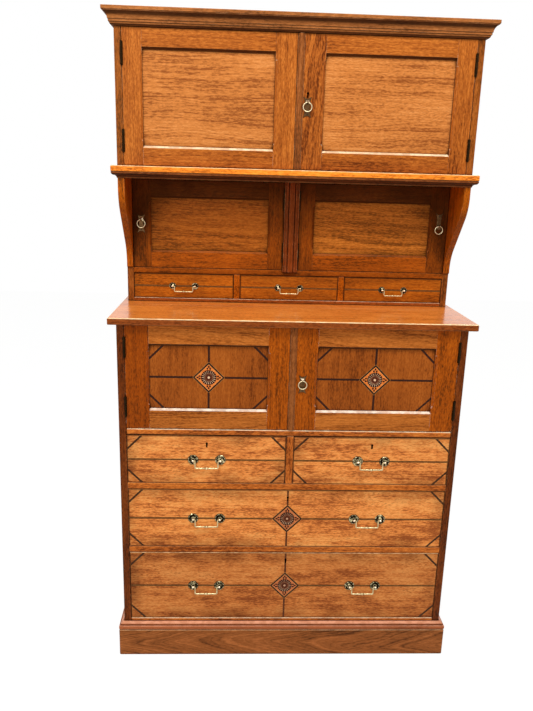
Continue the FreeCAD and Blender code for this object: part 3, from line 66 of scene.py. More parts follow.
class Wiring:
    """A node tree in the making. Each method places a node and gives the output that is used."""

    def __init__(self, tree):
        self.tree = tree

    def place(self, kind, inputs=None, **settings):
        node = self.tree.nodes.new(kind)
        for key, value in settings.items():
            setattr(node, key, value)
        for key, value in (inputs or {}).items():
            self.feed(node.inputs[key], value)
        return node

    def feed(self, socket, value):
        if isinstance(value, bpy.types.NodeSocket):
            self.tree.links.new(value, socket)
        else:
            socket.default_value = value

    def calc(self, operation, *values, clamp=False):
        inputs = dict(enumerate(values))
        return self.place("ShaderNodeMath", inputs, operation=operation, use_clamp=clamp).outputs[0]

    def plus(self, first, *more):
        for value in more:
            first = self.calc("ADD", first, value)
        return first

    def minus(self, first, second):
        return self.calc("SUBTRACT", first, second)

    def times(self, first, *more):
        for value in more:
            first = self.calc("MULTIPLY", first, value)
        return first

    def vector(self, operation, *values):
        node = self.place("ShaderNodeVectorMath", dict(enumerate(values)), operation=operation)
        return node.outputs["Value" if operation == "DOT_PRODUCT" else "Vector"]

    def mix(self, share, first, second):
        inputs = {0: share, 6: first, 7: second}
        return self.place("ShaderNodeMix", inputs, data_type="RGBA").outputs[2]

    def remap(self, value, low, high, to_low=0.0, to_high=1.0):
        inputs = {"Value": value, "From Min": low, "From Max": high, "To Min": to_low,
                  "To Max": to_high}
        return self.place("ShaderNodeMapRange", inputs, interpolation_type="SMOOTHSTEP").outputs[0]

    def noise(self, place, scale, detail=2.0, rough=0.5):
        """Cloudy noise. Its scale is one number, or three: along, across and through a board."""
        if isinstance(scale, tuple):
            place, scale = self.vector("MULTIPLY", place, scale), 1.0
        inputs = {"Vector": place, "Scale": scale, "Detail": detail, "Roughness": rough}
        return self.place("ShaderNodeTexNoise", inputs).outputs[0]

    def bump(self, strength, distance, height):
        inputs = {"Strength": strength, "Distance": distance, "Height": height}
        return self.place("ShaderNodeBump", inputs).outputs[0]

    def scaled(self, vector, share):
        inputs = {0: vector, "Scale": share}
        return self.place("ShaderNodeVectorMath", inputs, operation="SCALE").outputs["Vector"]

    def parts(self, vector):
        """The X, Y and Z of a vector."""
        return self.place("ShaderNodeSeparateXYZ", {0: vector}).outputs

    def here(self):
        """The point of the surface, in the measure of its piece."""
        return self.place("ShaderNodeTexCoord").outputs["Object"]

    def seen(self):
        """1 for what the eye meets, straight on or in gloss or glass, and 0 for light."""
        path = self.place("ShaderNodeLightPath").outputs
        mirrored = self.calc("MAXIMUM", path["Is Glossy Ray"], path["Is Transmission Ray"])
        return self.calc("MAXIMUM", path["Is Camera Ray"], mirrored)

    def attribute(self, name):
        return self.place("ShaderNodeAttribute", attribute_name=name).outputs

    def group(self, name, inputs):
        node = self.place("ShaderNodeGroup", node_tree=bpy.data.node_groups[name])
        for key, value in inputs.items():
            self.feed(node.inputs[key], value)
        return node.outputs


def new_group(name, inputs, outputs):
    """A shader node group with named inputs and outputs, ready to be wired."""
    tree = bpy.data.node_groups.new(name, "ShaderNodeTree")
    for label, value in inputs.items():
        kind = "NodeSocketColor" if isinstance(value, tuple) else "NodeSocketFloat"
        socket = tree.interface.new_socket(label, in_out="INPUT", socket_type=kind)
        socket.default_value = value
    for label, kind in outputs.items():
        tree.interface.new_socket(label, in_out="OUTPUT", socket_type="NodeSocket" + kind)
    wiring = Wiring(tree)
    given = wiring.place("NodeGroupInput").outputs
    result = wiring.place("NodeGroupOutput").inputs
    return wiring, given, result


WHITE = (1.0, 1.0, 1.0, 1.0)
WARM = paint("ffc890")     # old shellac gives back warm light


# patterns in the wood: how many to the metre along, across and through the board, their detail
# and roughness, and the part of the noise over which each comes in
PATTERNS = {
    "fibre": ((5.0, 240.0, 240.0), 3.0, 0.6, 0.3, 0.7),
    "fine": ((75.0, 300.0, 300.0), 3.0, 0.65, 0.38, 0.62),
    "mottle": ((15.0, 42.0, 42.0), 3.0, 0.6, 0.3, 0.7),
    "clouds": ((2.6, 9.0, 9.0), 3.0, 0.5, 0.3, 0.7),
    "groups": ((5.0, 16.0, 16.0), 2.0, 0.5, 0.44, 0.62),
    "dashes": ((90.0, 340.0, 340.0), 1.5, 0.5, 0.53, 0.69),
    "pores": ((110.0, 1500.0, 1500.0), 1.0, 0.5, 0.6, 0.7),
}
HEART_WANDERS = 0.07       # metres that a log's heart wanders to either side along a board
RINGS_WOBBLE = 0.012       # metres that a ring strays from its circle
EVEN_TONE = 0.45           # tone of a board, from light to dark, before its patterns


def make_board_figure():
    """The grain of one board, drawn in the board's own measure: along, across and through."""
    w, given, result = new_group(
        "board_figure",
        {"Light": WHITE, "Middle": WHITE, "Dark": WHITE, "Growth": 0.01, "Rings": 0.5,
         "Heart": 0.1, "Depth": 0.05, "Taper": 0.05, "Fibre": 0.5, "Mottle": 0.2,
         "Flecks": 0.3, "Clouds": 0.3},
        {"Color": "Color", "Height": "Float", "Edge": "Float"})
    place = w.attribute("board_place")["Vector"]
    seed = w.attribute("board_seed")["Fac"]
    home = w.vector("ADD", place, w.scaled((31.7, 17.3, 9.1), seed))
    at = w.parts(place)

    def pattern(name):
        scale, detail, rough, begins, full = PATTERNS[name]
        return w.remap(w.noise(home, scale, detail, rough), begins, full)

    # growth rings: distance from a heart that lies beside and below the board and wanders
    meander = w.minus(w.noise(home, (2.2, 7.0, 7.0)), 0.5)
    wobble = w.minus(w.noise(home, (14.0, 45.0, 45.0)), 0.5)
    side = w.minus(w.calc("FRACT", w.times(seed, 7.31)), 0.5)
    heart = w.times(side, 2.0, given["Heart"])
    across = w.plus(w.minus(at["Y"], heart), w.times(meander, HEART_WANDERS))
    through = w.plus(at["Z"], given["Depth"])
    reach = w.calc("SQRT", w.plus(w.times(across, across), w.times(through, through)))
    lean = w.times(at["X"], given["Taper"])
    ring_place = w.plus(reach, lean, w.times(wobble, RINGS_WOBBLE))
    turns = w.calc("DIVIDE", ring_place, given["Growth"])
    uneven = w.place("ShaderNodeTexNoise", {"W": w.plus(turns, seed), "Scale": 0.55, "Detail": 3.0},
                     noise_dimensions="1D").outputs[0]
    # a year's ring darkens slowly towards its late wood and ends sharply
    late = w.calc("FRACT", w.plus(turns, w.times(uneven, 1.6)))
    line = w.times(w.remap(late, 0.35, 0.93), w.remap(late, 1.0, 0.95))
    bands = w.remap(uneven, 0.3, 0.7)

    fibre, pores = pattern("fibre"), pattern("pores")
    dashes = w.times(pattern("dashes"), w.plus(0.3, w.times(pattern("groups"), 0.5)))
    tone = EVEN_TONE
    for wave, strength, share in ((fibre, "Fibre", 0.8), (pattern("fine"), "Fibre", 1.0),
                                  (bands, "Rings", 1.0), (pattern("mottle"), "Mottle", 1.0),
                                  (pattern("clouds"), "Clouds", 1.0)):
        tone = w.plus(tone, w.times(w.minus(wave, 0.5), share, given[strength]))
    tone = w.calc("ADD", tone, w.times(line, given["Rings"], 0.5), clamp=True)
    colour = w.mix(w.remap(tone, 0.0, 0.5), given["Light"], given["Middle"])
    colour = w.mix(w.remap(tone, 0.45, 1.0), colour, given["Dark"])
    specks = w.times(w.calc("MAXIMUM", dashes, w.times(pores, 0.4)), given["Flecks"])
    w.feed(result["Color"], w.mix(specks, colour, given["Dark"]))
    w.feed(result["Height"], w.minus(w.times(fibre, 0.25), w.plus(pores, dashes)))

    # how far a point lies from the nearest edge of its board's broad side
    half = w.attribute("board_half")["Vector"]
    inside = w.parts(w.vector("SUBTRACT", half, w.vector("ABSOLUTE", place)))
    w.feed(result["Edge"], w.calc("MINIMUM", inside["X"], inside["Y"]))


EDGE_SEEN = 2 * MM         # how near an arris its wear begins
# between which distances from a board's edge a darker rim fades in, and a broken smudge
RIM, SMUDGE = (5.5 * MM, 1 * MM), (60 * MM, 2 * MM)


def make_polish_and_painted_light():
    """A century of use, with painted light: pale worn arrises and painted highlights, painted shade
    in the corners and under what tilts down, darker rims, a few dents and dull patches.
    """
    w, given, result = new_group(
        "polish_and_painted_light",
        {"Color": WHITE, "WornAndHighlight": WHITE, "Shade And Grime": WHITE, "Wear": 0.5, "CornerShade": 0.5, "Gloss": 0.3,
         "Reach": 0.009, "Open": 0.88, "Edge": 1.0, "Edge Darkening": 0.0, "Glint": 0.5,
         "Underside": 0.5},
        {"Color": "Color", "Roughness": "Float", "Height": "Float"})
    place = w.here()
    surface = w.place("ShaderNodeNewGeometry").outputs
    broken = w.remap(w.noise(place, 45.0, 3.0, 0.6), 0.4, 0.62)
    blotch = w.remap(w.noise(place, 9.0, 3.0), 0.3, 0.7)
    open_share = w.place("ShaderNodeAmbientOcclusion", {"Distance": given["Reach"]},
                         samples=8).outputs["AO"]

    # arrises that stand proud are rubbed pale
    rounded = w.place("ShaderNodeBevel", {"Radius": EDGE_SEEN}, samples=4).outputs[0]
    turn = w.minus(1.0, w.vector("DOT_PRODUCT", rounded, surface["True Normal"]))
    proud = w.times(w.remap(turn, 0.01, 0.12), w.remap(open_share, 0.8, 0.95))
    worn = w.times(proud, broken, given["Wear"])

    # corners get painted shade, and drawer fronts a darker rim along their edges and darker smudges
    corner = w.remap(open_share, given["Open"], w.minus(given["Open"], 0.43))
    rim = w.times(w.remap(given["Edge"], *RIM), 0.8)
    smudge = w.times(w.remap(given["Edge"], *SMUDGE), blotch, 0.5)
    edges = w.times(w.calc("MAXIMUM", rim, smudge), given["Edge Darkening"])
    shade_and_grime = w.times(corner, given["CornerShade"], w.plus(0.75, w.times(blotch, 0.25)))
    shade_and_grime = w.calc("MAXIMUM", shade_and_grime, edges)

    # what tilts up on arrises, chamfers and mouldings gets a painted highlight, and what tilts down
    # gets painted shade
    lift = w.parts(surface["Normal"])["Z"]
    tilted = w.times(w.remap(lift, 0.2, 0.5), w.remap(lift, 0.999, 0.98))
    glint = w.times(tilted, w.remap(open_share, 0.5, 0.85), given["Glint"],
                    w.plus(0.6, w.times(broken, 0.4)))
    worn = w.calc("MAXIMUM", worn, glint)
    under = w.times(w.remap(lift, -0.3, -0.62), w.remap(lift, -0.98, -0.88))
    shade_and_grime = w.calc("MAXIMUM", shade_and_grime, w.times(under, given["Underside"]))
    # a painted highlight clears the painted shade and grime beneath it
    shade_and_grime = w.times(shade_and_grime, w.minus(1.0, glint))

    spots = w.place("ShaderNodeTexVoronoi", {"Vector": place, "Scale": 26.0}).outputs
    chance = w.place("ShaderNodeSeparateColor", {0: spots["Color"]}).outputs[0]
    dent = w.times(w.remap(spots["Distance"], 0.055, 0.015), w.remap(chance, 0.72, 0.95))
    # the colour of worn arrises also paints the highlights, and the grime colour also paints the
    # shade
    colour = w.mix(worn, given["Color"], given["WornAndHighlight"])
    colour = w.mix(w.times(dent, 0.55), colour, given["Shade And Grime"])
    w.feed(result["Color"], w.mix(shade_and_grime, colour, given["Shade And Grime"]))
    dull = w.times(w.minus(blotch, 0.5), 0.1)
    w.feed(result["Roughness"], w.plus(given["Gloss"], dull, w.times(shade_and_grime, 0.5)))
    w.feed(result["Height"], w.times(dent, -1.0))


def make_tarnish():
    """Brass that is rubbed bright where it stands proud and brown-black in its hollows."""
    w, given, result = new_group(
        "tarnish",
        {"Bright": WHITE, "Dull": WHITE, "Hollow": WHITE, "Age": 0.5, "Reach": 0.004},
        {"Color": "Color", "Roughness": "Float", "Height": "Float"})
    place = w.here()
    open_share = w.place("ShaderNodeAmbientOcclusion", {"Distance": given["Reach"]},
                         samples=6).outputs["AO"]
    hollow = w.remap(open_share, 0.85, 0.35)
    patches = w.remap(w.noise(place, 120.0, 3.0, 0.6), 0.3, 0.7)
    pits = w.remap(w.noise(place, 900.0), 0.35, 0.65)
    aged = w.times(patches, given["Age"])
    colour = w.mix(aged, given["Bright"], given["Dull"])
    w.feed(result["Color"], w.mix(hollow, colour, given["Hollow"]))
    w.feed(result["Roughness"], w.plus(0.24, w.plus(w.times(aged, 0.22), w.times(hollow, 0.3))))
    w.feed(result["Height"], w.plus(w.times(pits, 0.5), patches))


make_board_figure()
make_polish_and_painted_light()
make_tarnish()


# ---------------------------------------------------------------- finishes

def empty_tree(holder):
    """The wiring of a material or a world, with nothing in it."""
    holder.use_nodes = True
    holder.node_tree.nodes.clear()
    return Wiring(holder.node_tree)


def new_material(name):
    material = bpy.data.materials.new(name)
    wiring = empty_tree(material)
    shader = wiring.place("ShaderNodeBsdfPrincipled")
    output = wiring.place("ShaderNodeOutputMaterial")
    wiring.feed(output.inputs["Surface"], shader.outputs[0])
    return material, wiring, shader


# the grain of plain walnut: Growth is a year's ring, and Heart and Depth say how far beside and
# below the board its log's heart lay, all in metres, and Taper how far the rings run out
WALNUT = {"Light": "c9803f", "Middle": "a8612b", "Dark": "5f2d12", "Growth": 0.011,
          "Rings": 0.24, "Heart": 0.16, "Depth": 0.05, "Taper": 0.05, "Fibre": 0.46,
          "Mottle": 0.2, "Flecks": 0.75, "Clouds": 0.3}
# its polish and painted light: Reach is how far painted shade reaches from a corner, in metres, and
# Open how open a place must be to stay unshaded
POLISH_AND_PAINTED_LIGHT = {"WornAndHighlight": "ffcc98", "Shade And Grime": "1e0806", "Wear": 0.4, "CornerShade": 0.92, "Gloss": 0.33,
          "Reach": 0.009, "Open": 0.88, "Edge Darkening": 0.0, "Glint": 0.85, "Underside": 0.85}
# Reach, Open and the corner darkening paint shade: round panels, in the cornice's cove and on the
# plinth moulding, and, reaching far, under the shelf on the recess doors, darkest at their top.
# polishes that differ from the rest. Their worn colours are also the colours of painted highlights,
# and Glint paints a highlight on what tilts up: chamfers, arrises, mouldings, and the top arris of
# the low drawer, the cupboard floor and the foot board.
RUBBED_AND_LIT_CHAMFER = {"WornAndHighlight": "ffe2b8"}
WHITE_CHAMFER = {"WornAndHighlight": "fff0dc"}
DRAWER_EDGES = {"Edge Darkening": 0.95, "Glint": 0.15}
LOW_DRAWER_EDGES = {"Edge Darkening": 0.9, "Glint": 1.0, "Reach": 0.003}
RUBBED_AND_LIT_EDGE = {"Glint": 1.0, "Reach": 0.003, "WornAndHighlight": "ffdcb4"}
DARK_CORNERS = {"Reach": 0.022, "Open": 0.95}
MOULDED = {"Reach": 0.012, "Open": 1.0, "Glint": 1.0}
CORNICE = {"Reach": 0.014, "Open": 1.02, "CornerShade": 1.0, "Glint": 0.7, "Underside": 0.8}
FOOT = {"Reach": 0.008, "Open": 1.0, "CornerShade": 1.0, "Glint": 0.75, "WornAndHighlight": "fab490"}
UNDER_SHELF = {"Reach": 0.24, "Open": 1.02, "CornerShade": 0.9, "Glint": 0.08, "Shade And Grime": "2c1406"}
RECESS_PANEL = dict(UNDER_SHELF, CornerShade=0.7, Reach=0.16)
FRONT_GRAIN = {"Rings": 0.12, "Fibre": 0.45, "Mottle": 0.5, "Clouds": 0.5, "Flecks": 1.0,
               "Heart": 0.3}
PANEL_GRAIN = {"Growth": 0.008, "Rings": 0.3, "Mottle": 0.26, "Fibre": 0.5, "Clouds": 0.4,
               "Heart": 0.25}


def shades(light, middle, dark, **grain):
    """What the grain of a board changes from plain walnut: its colours, and values by name."""
    return dict(grain, Light=light, Middle=middle, Dark=dark)


# name of the finish: what its grain changes from plain walnut, and what its polish and painted light
# change
WOODS = {
    "walnut_frame": (
        shades("c9742c", "a8581d", "60280a", Rings=0.12, Fibre=0.4, Mottle=0.16, Flecks=0.55),
        RUBBED_AND_LIT_CHAMFER),
    "walnut_figured_stile": (
        shades("c4702b", "a4551c", "5d260a", Growth=0.01, Rings=0.42, Heart=0.02,
               Depth=0.015, Taper=0.16), RUBBED_AND_LIT_CHAMFER),
    "walnut_rail": (shades("e58535", "c06424", "6d2f0e"), {"Glint": 0.35}),
    "walnut_floor_edge": (shades("e58535", "c06424", "6d2f0e"), RUBBED_AND_LIT_EDGE),
    # the recess's stiles are a darker copy of its rails: painted shade beside the brackets and under
    # the shelf
    "walnut_recess_shaded_frame": (shades("ac560c", "944507", "562803"), UNDER_SHELF),
    "walnut_recess_rail": (shades("d46c14", "ba5a0e", "6e3406"), UNDER_SHELF),
    # a darker copy of the recess rail: painted shade under the shelf on the head rails
    "walnut_recess_shaded_head": (shades("8c4a10", "78390a", "462004"), UNDER_SHELF),
    "walnut_bracket": (shades("c2600c", "a65008", "602c03"), {"Glint": 0.3, "Underside": 0.2}),
    "walnut_foot_board": (shades("a5531f", "8c4216", "50240a"), RUBBED_AND_LIT_EDGE),
    "walnut_upper_edge": (shades("a95d22", "8e4a17", "4e260a"), {}),
    "walnut_lower_frame": (shades("be5e0f", "a64c08", "612a03"), WHITE_CHAMFER),
    # a darker copy of the lower frame: painted shade on the left door's hinge stile beside the
    # carcass
    "walnut_shaded_stile": (shades("aa4f0b", "944006", "562202"), WHITE_CHAMFER),
    "walnut_carcass_edge": (shades("813e14", "692d0b", "381405"), {}),
    "walnut_drawer_front": (shades("ffac5d", "ee8f45", "a25325", **FRONT_GRAIN), DRAWER_EDGES),
    # a darker copy of the drawer front: painted shade towards the foot of the press
    "walnut_shaded_low_drawer": (shades("df904c", "cb7638", "8a441d", **FRONT_GRAIN), LOW_DRAWER_EDGES),
    "walnut_small_drawer": (
        shades("c9701a", "b35c11", "6e3607", Rings=0.12, Heart=0.2), DRAWER_EDGES),
    "walnut_upper_panel": (
        shades("d98c4b", "c77838", "8a481e", Growth=0.008, Rings=0.34, Mottle=0.2,
               Fibre=0.4, Clouds=0.4, Heart=0.05, Depth=0.02, Taper=0.03), DARK_CORNERS),
    "walnut_recess_panel": (shades("c97527", "b05f1c", "703a0d", **PANEL_GRAIN), RECESS_PANEL),
    "walnut_pale_recess_panel": (
        shades("dc8731", "c06e24", "7b4412", **PANEL_GRAIN), RECESS_PANEL),
    "walnut_lower_panel": (
        shades("b25f20", "9c4e17", "652b08", Growth=0.02, Rings=0.12, Mottle=0.3,
               Fibre=0.34, Clouds=0.42), DARK_CORNERS),
    "walnut_figured_rail": (
        shades("cb7630", "b46324", "77390f", Growth=0.009, Rings=0.4, Heart=0.05,
               Depth=0.03, Taper=0.09, Fibre=0.4), WHITE_CHAMFER),
    "walnut_top": (
        shades("ffa248", "ec8936", "9c4f1c", Rings=0.15, Fibre=0.3, Heart=0.5),
        {"Gloss": 0.22, "Glint": 1.0, "WornAndHighlight": "ffecb8"}),
    # its Underside paints a shadow line along the plinth's foot
    "walnut_plinth": (
        shades("b86c38", "955427", "50270e", Growth=0.009, Rings=0.42, Heart=0.015,
               Depth=0.02, Taper=0.22, Fibre=0.2, Flecks=0.5), {"Gloss": 0.45, "Underside": 1.0}),
    "walnut_cornice": (
        shades("b8713a", "9c5c2d", "542e15", Rings=0.1, Fibre=0.35, Flecks=0.5), CORNICE),
    "walnut_plinth_moulding": (
        shades("d07848", "b06038", "602c14", Rings=0.1, Fibre=0.2, Flecks=0.25), FOOT),
    "walnut_shelf": (shades("ffa53c", "fc8d2b", "ad5615", Rings=0.12), MOULDED),
    "walnut_shelf_moulding": (shades("915127", "7d401c", "441e0c", Rings=0.12), MOULDED),
    "walnut_top_edge": (shades("a65624", "8b4218", "50220a", Rings=0.12), {}),
    "walnut_reed": (shades("893e13", "73310c", "3e1704", Rings=0.1, Flecks=0.2), {}),
    "walnut_bead": (shades("a05c2c", "85481e", "4a220c"), {}),
}
COATED = {"walnut_top": 0.3}     # finish of a varnished board: weight of its coat


def painted(look):
    """The values of a finish, with its colours made linear."""
    return {key: paint(value) if isinstance(value, str) else value for key, value in look.items()}


def shellac(shader, shine):
    """Old shellac gives back a little light, and that is warm."""
    shader.inputs["Specular IOR Level"].default_value = shine
    shader.inputs["Specular Tint"].default_value = WARM


def make_wood(name, grain, polish, coat, bump):
    """A finish of one kind of board: its figure, and the polish, wear and painted light that lie
    over it.
    """
    material, w, shader = new_material(name)
    figure = w.group("board_figure", painted(grain))
    aged = w.group("polish_and_painted_light", dict(painted(polish), Color=figure["Color"], Edge=figure["Edge"]))
    w.feed(shader.inputs["Base Color"], aged["Color"])
    w.feed(shader.inputs["Roughness"], aged["Roughness"])
    shellac(shader, 0.2)
    shader.inputs["Coat Weight"].default_value = coat
    shader.inputs["Coat Roughness"].default_value = 0.14
    height = w.plus(figure["Height"], w.times(aged["Height"], 4.0))
    w.feed(shader.inputs["Normal"], w.bump(bump, 0.2 * MM, height))
    return material


def make_stringing(name, colour, deep, shine=0.3):
    """Thin dark stringing with a little grain of its own."""
    material, w, shader = new_material(name)
    grain = w.remap(w.noise(w.here(), 90.0, 3.0), 0.3, 0.7)
    w.feed(shader.inputs["Base Color"], w.mix(grain, paint(colour), paint(deep)))
    w.feed(shader.inputs["Roughness"], w.remap(grain, 0.0, 1.0, 0.3, 0.42))
    shellac(shader, shine)
    return material


def make_shaded_veneer(name, rim, heart):
    """Veneer scorched in hot sand: the colour runs from the rosette's rim to its middle."""
    material, w, shader = new_material(name)
    grain = w.remap(w.noise(w.here(), 300.0), 0.3, 0.7, -0.12, 0.12)
    share = w.calc("ADD", w.attribute("scorch")["Fac"], grain, clamp=True)
    w.feed(shader.inputs["Base Color"], w.mix(share, paint(rim), paint(heart)))
    shader.inputs["Roughness"].default_value = 0.36
    shellac(shader, 0.3)
    return material


def make_brass(name, bright, dull, hollow, age, reach):
    """Old brass. Where a casting stands proud it is rubbed bright, as its attribute says."""
    material, w, shader = new_material(name)
    worn = w.group("tarnish", {"Bright": paint(bright), "Dull": paint(dull),
                               "Hollow": paint(hollow), "Age": age, "Reach": reach})
    rubbed = w.attribute("rubbed")["Fac"]
    w.feed(shader.inputs["Base Color"], w.mix(rubbed, worn["Color"], paint(bright)))
    w.feed(shader.inputs["Roughness"], worn["Roughness"])
    shader.inputs["Metallic"].default_value = 1.0
    w.feed(shader.inputs["Normal"], w.bump(0.25, 0.1 * MM, worn["Height"]))
    return material


finish = {}
for wood, (grain, polish) in WOODS.items():
    finish[wood] = make_wood(wood, dict(WALNUT, **grain), dict(POLISH_AND_PAINTED_LIGHT, **polish),
                             COATED.get(wood, 0.0), bump=0.25)
deal = shades("c9a26c", "b58a53", "7c5630", Growth=0.008, Rings=0.6, Taper=0.02, Flecks=0.1)
finish["deal"] = make_wood("deal", dict(WALNUT, **deal),
                           dict(POLISH_AND_PAINTED_LIGHT, WornAndHighlight="c9a26c", Gloss=0.62, Wear=0.2), 0.0, bump=0.6)
# name of the veneer: its two colours
STRINGS = {
    "drawer_string": ("7c5428", "64401c"),
    "drawer_string_edge": ("5c381c", "442412"),
    "door_string": ("240a0e", "180608"),
    "door_core": ("301014", "200a0c"),
    "corner_core": ("48301a", "341c10"),
    "upright_core": ("70381e", "54281a"),
    "pale_hairline": ("c08a50", "a07038"),
    "salmon_veneer": ("d07a48", "bc6638"),
    "orange_veneer": ("f08c44", "dc7028"),
}
for string, colours in STRINGS.items():
    finish[string] = make_stringing(string, *colours)
# near black, for the painted shade in keyholes
finish["keyhole"] = make_stringing("keyhole", "080402", "030201", shine=0.0)
finish["dark_veneer"] = make_shaded_veneer("dark_veneer", "240408", "4c180e")
finish["sand_veneer"] = make_shaded_veneer("sand_veneer", "8a4c2e", "300a0a")
finish["pale_veneer"] = make_shaded_veneer("pale_veneer", "ffd4a8", "a06040")
# name of the finish: bright, dull and hollow colours, how far it is aged, reach of its hollows
BRASSES = {
    "bail_brass": ("e2d0a0", "8c7040", "2c1e0a", 0.6, 0.003),
    "rose_brass": ("d8c898", "1a130a", "070403", 2.4, 0.005),
    "plate_brass": ("6e5134", "412b15", "100905", 0.7, 0.004),
    "boss_brass": ("fff2d4", "b49c6c", "241a0a", 0.4, 0.003),
    "ring_brass": ("e8d8b0", "a08a5c", "2c200e", 0.5, 0.003),
    "hinge_brass": ("2c2010", "1a1208", "080402", 0.8, 0.004),
    "lock_brass": ("a08a54", "6a5632", "241a10", 0.7, 0.004),
    "iron": ("3e3834", "241e1a", "0c0806", 0.8, 0.003),
}
for brass, look in BRASSES.items():
    finish[brass] = make_brass(brass, *look)


# ---------------------------------------------------------------- boards of the carcass

MICRON = 0.001 * MM
# angles in degrees: faces turned less than this are one flat face, edges turned more than these
# have an arris taken off, and are shaded as sharp
FLAT, ARRIS, SHARP = 0.6, 32, 38


def boards_of(node):
    """The closed solids of a node, each as its polygons and its lowest and highest corners.
    A solid's faces follow one another, and it is closed where each edge has two sides."""
    mesh = frame["nodes"][node].data
    places = [vertex.co.copy() for vertex in mesh.vertices]
    keys = [tuple(round(value / MICRON) for value in place) for place in places]
    boards = []
    polygons, waiting = [], set()
    for polygon in mesh.polygons:
        corners = [keys[index] for index in polygon.vertices]
        for start, end in zip(corners, corners[1:] + corners[:1]):
            waiting ^= {frozenset((start, end))}
        polygons.append(polygon)
        if not waiting:
            points = [places[index] for face in polygons for index in face.vertices]
            low = Vector(min(point[axis] for point in points) for axis in range(3))
            high = Vector(max(point[axis] for point in points) for axis in range(3))
            boards.append((polygons, low, high))
            polygons = []
    return boards


BOARDS_APART = 3.0         # metres between one board and the next while they are welded
SAME_CORNER = 0.03 * MM    # corners nearer than this are one


def make_weld():
    """Welds the split corners of each board, and never one board to the next: the boards are
    drawn apart by their numbers, welded, and put back where they were."""
    tree = bpy.data.node_groups.new("welded_boards", "GeometryNodeTree")
    tree.interface.new_socket("Geometry", in_out="INPUT", socket_type="NodeSocketGeometry")
    tree.interface.new_socket("Geometry", in_out="OUTPUT", socket_type="NodeSocketGeometry")
    w = Wiring(tree)
    number = w.place("GeometryNodeInputNamedAttribute", {"Name": "board_number"},
                     data_type="FLOAT").outputs[0]
    home = w.place("GeometryNodeInputNamedAttribute", {"Name": "board_home"},
                   data_type="FLOAT_VECTOR").outputs[0]
    apart = w.scaled((BOARDS_APART, 0.0, 0.0), number)
    geometry = w.place("NodeGroupInput").outputs[0]
    for name in ("custom_normal", "sharp_edge", "sharp_face"):
        geometry = w.place("GeometryNodeRemoveAttribute",
                           {"Geometry": geometry, "Name": name}).outputs[0]
    drawn = w.place("GeometryNodeSetPosition", {"Geometry": geometry, "Offset": apart})
    welded = w.place("GeometryNodeMergeByDistance",
                     {"Geometry": drawn.outputs[0], "Distance": SAME_CORNER})
    back = w.place("GeometryNodeSetPosition", {"Geometry": welded.outputs[0], "Position": home})
    w.place("NodeGroupOutput", {0: back.outputs[0]})
    return tree


welded_boards = make_weld()
FRONT = Vector((0, -1, 0))
UP = 2
GRAIN_WAYS = {"walnut_lower_panel": UP}    # the grain of the other boards runs their longest way


def dress_boards(node, woods, edge_wood=None, arris=0.8 * MM):
    """Gives each board of a node its finish and its own grain, and takes off its arrises. The
    last of the woods serves for all the boards after it, edge_wood for the boards' front edges."""
    piece = frame["nodes"][node]
    mesh = piece.data
    mesh.materials.clear()
    used = []
    count = len(mesh.vertices)
    place, half = [0.0] * count * 3, [0.0] * count * 3
    seed, number_of = [0.0] * count, [0.0] * count
    for number, (polygons, low, high) in enumerate(boards_of(node)):
        wood = woods[min(number, len(woods) - 1)]
        sizes, middle = high - low, (low + high) / 2
        way = GRAIN_WAYS.get(wood)
        order = sorted(range(3), key=lambda axis: (axis != way, -sizes[axis]))
        lot = luck.random()
        turned = luck.choice((-1, 1))
        for label in (wood, edge_wood or wood):
            if label not in used:
                used.append(label)
                mesh.materials.append(finish[label])
        for polygon in polygons:
            front_edge = edge_wood and polygon.normal.dot(FRONT) > 0.9
            polygon.material_index = used.index(edge_wood if front_edge else wood)
            for index in polygon.vertices:
                offset = mesh.vertices[index].co - middle
                for slot, axis in enumerate(order):
                    place[index * 3 + slot] = offset[axis] * (turned if slot == 0 else 1)
                    half[index * 3 + slot] = sizes[axis] / 2
                seed[index] = lot
                number_of[index] = float(number)
    home = [value for vertex in mesh.vertices for value in vertex.co]
    for label, values in (("board_place", place), ("board_half", half), ("board_seed", seed),
                          ("board_number", number_of), ("board_home", home)):
        whole = len(values) > count
        attribute = mesh.attributes.new(label, "FLOAT_VECTOR" if whole else "FLOAT", "POINT")
        attribute.data.foreach_set("vector" if whole else "value", values)
    weld = piece.modifiers.new("weld", "NODES")
    weld.node_group = welded_boards
    flat = piece.modifiers.new("flat_faces", "DECIMATE")
    flat.decimate_type = "DISSOLVE"
    flat.angle_limit = math.radians(FLAT)
    flat.delimit = {"MATERIAL"}
    soften(piece, arris)


def soften(piece, arris):
    """Takes off the sharp arrises of a piece and shades it evenly over them."""
    bevel = piece.modifiers.new("arris", "BEVEL")
    bevel.width = arris
    bevel.segments = 2
    bevel.limit_method = "ANGLE"
    bevel.angle_limit = math.radians(ARRIS)
    bevel.use_clamp_overlap = False
    normals = piece.modifiers.new("even_shading", "WEIGHTED_NORMAL")
    normals.keep_sharp = False


DOORS = ("upper_door_left", "upper_door_right", "lower_door_left", "lower_door_right",
         "recess_door_left", "recess_door_right")
HINGE_STILE, FREE_STILE, FOOT_RAIL, HEAD_RAIL, PANEL, BEAD = range(6)
# tier of doors: the finish of its stiles, its rails and its panel
DOOR_WOODS = {
    "upper": ("walnut_frame", "walnut_frame", "walnut_upper_panel"),
    "recess": ("walnut_recess_shaded_frame", "walnut_recess_rail", "walnut_recess_panel"),
    "lower": ("walnut_lower_frame", "walnut_figured_rail", "walnut_lower_panel"),
}
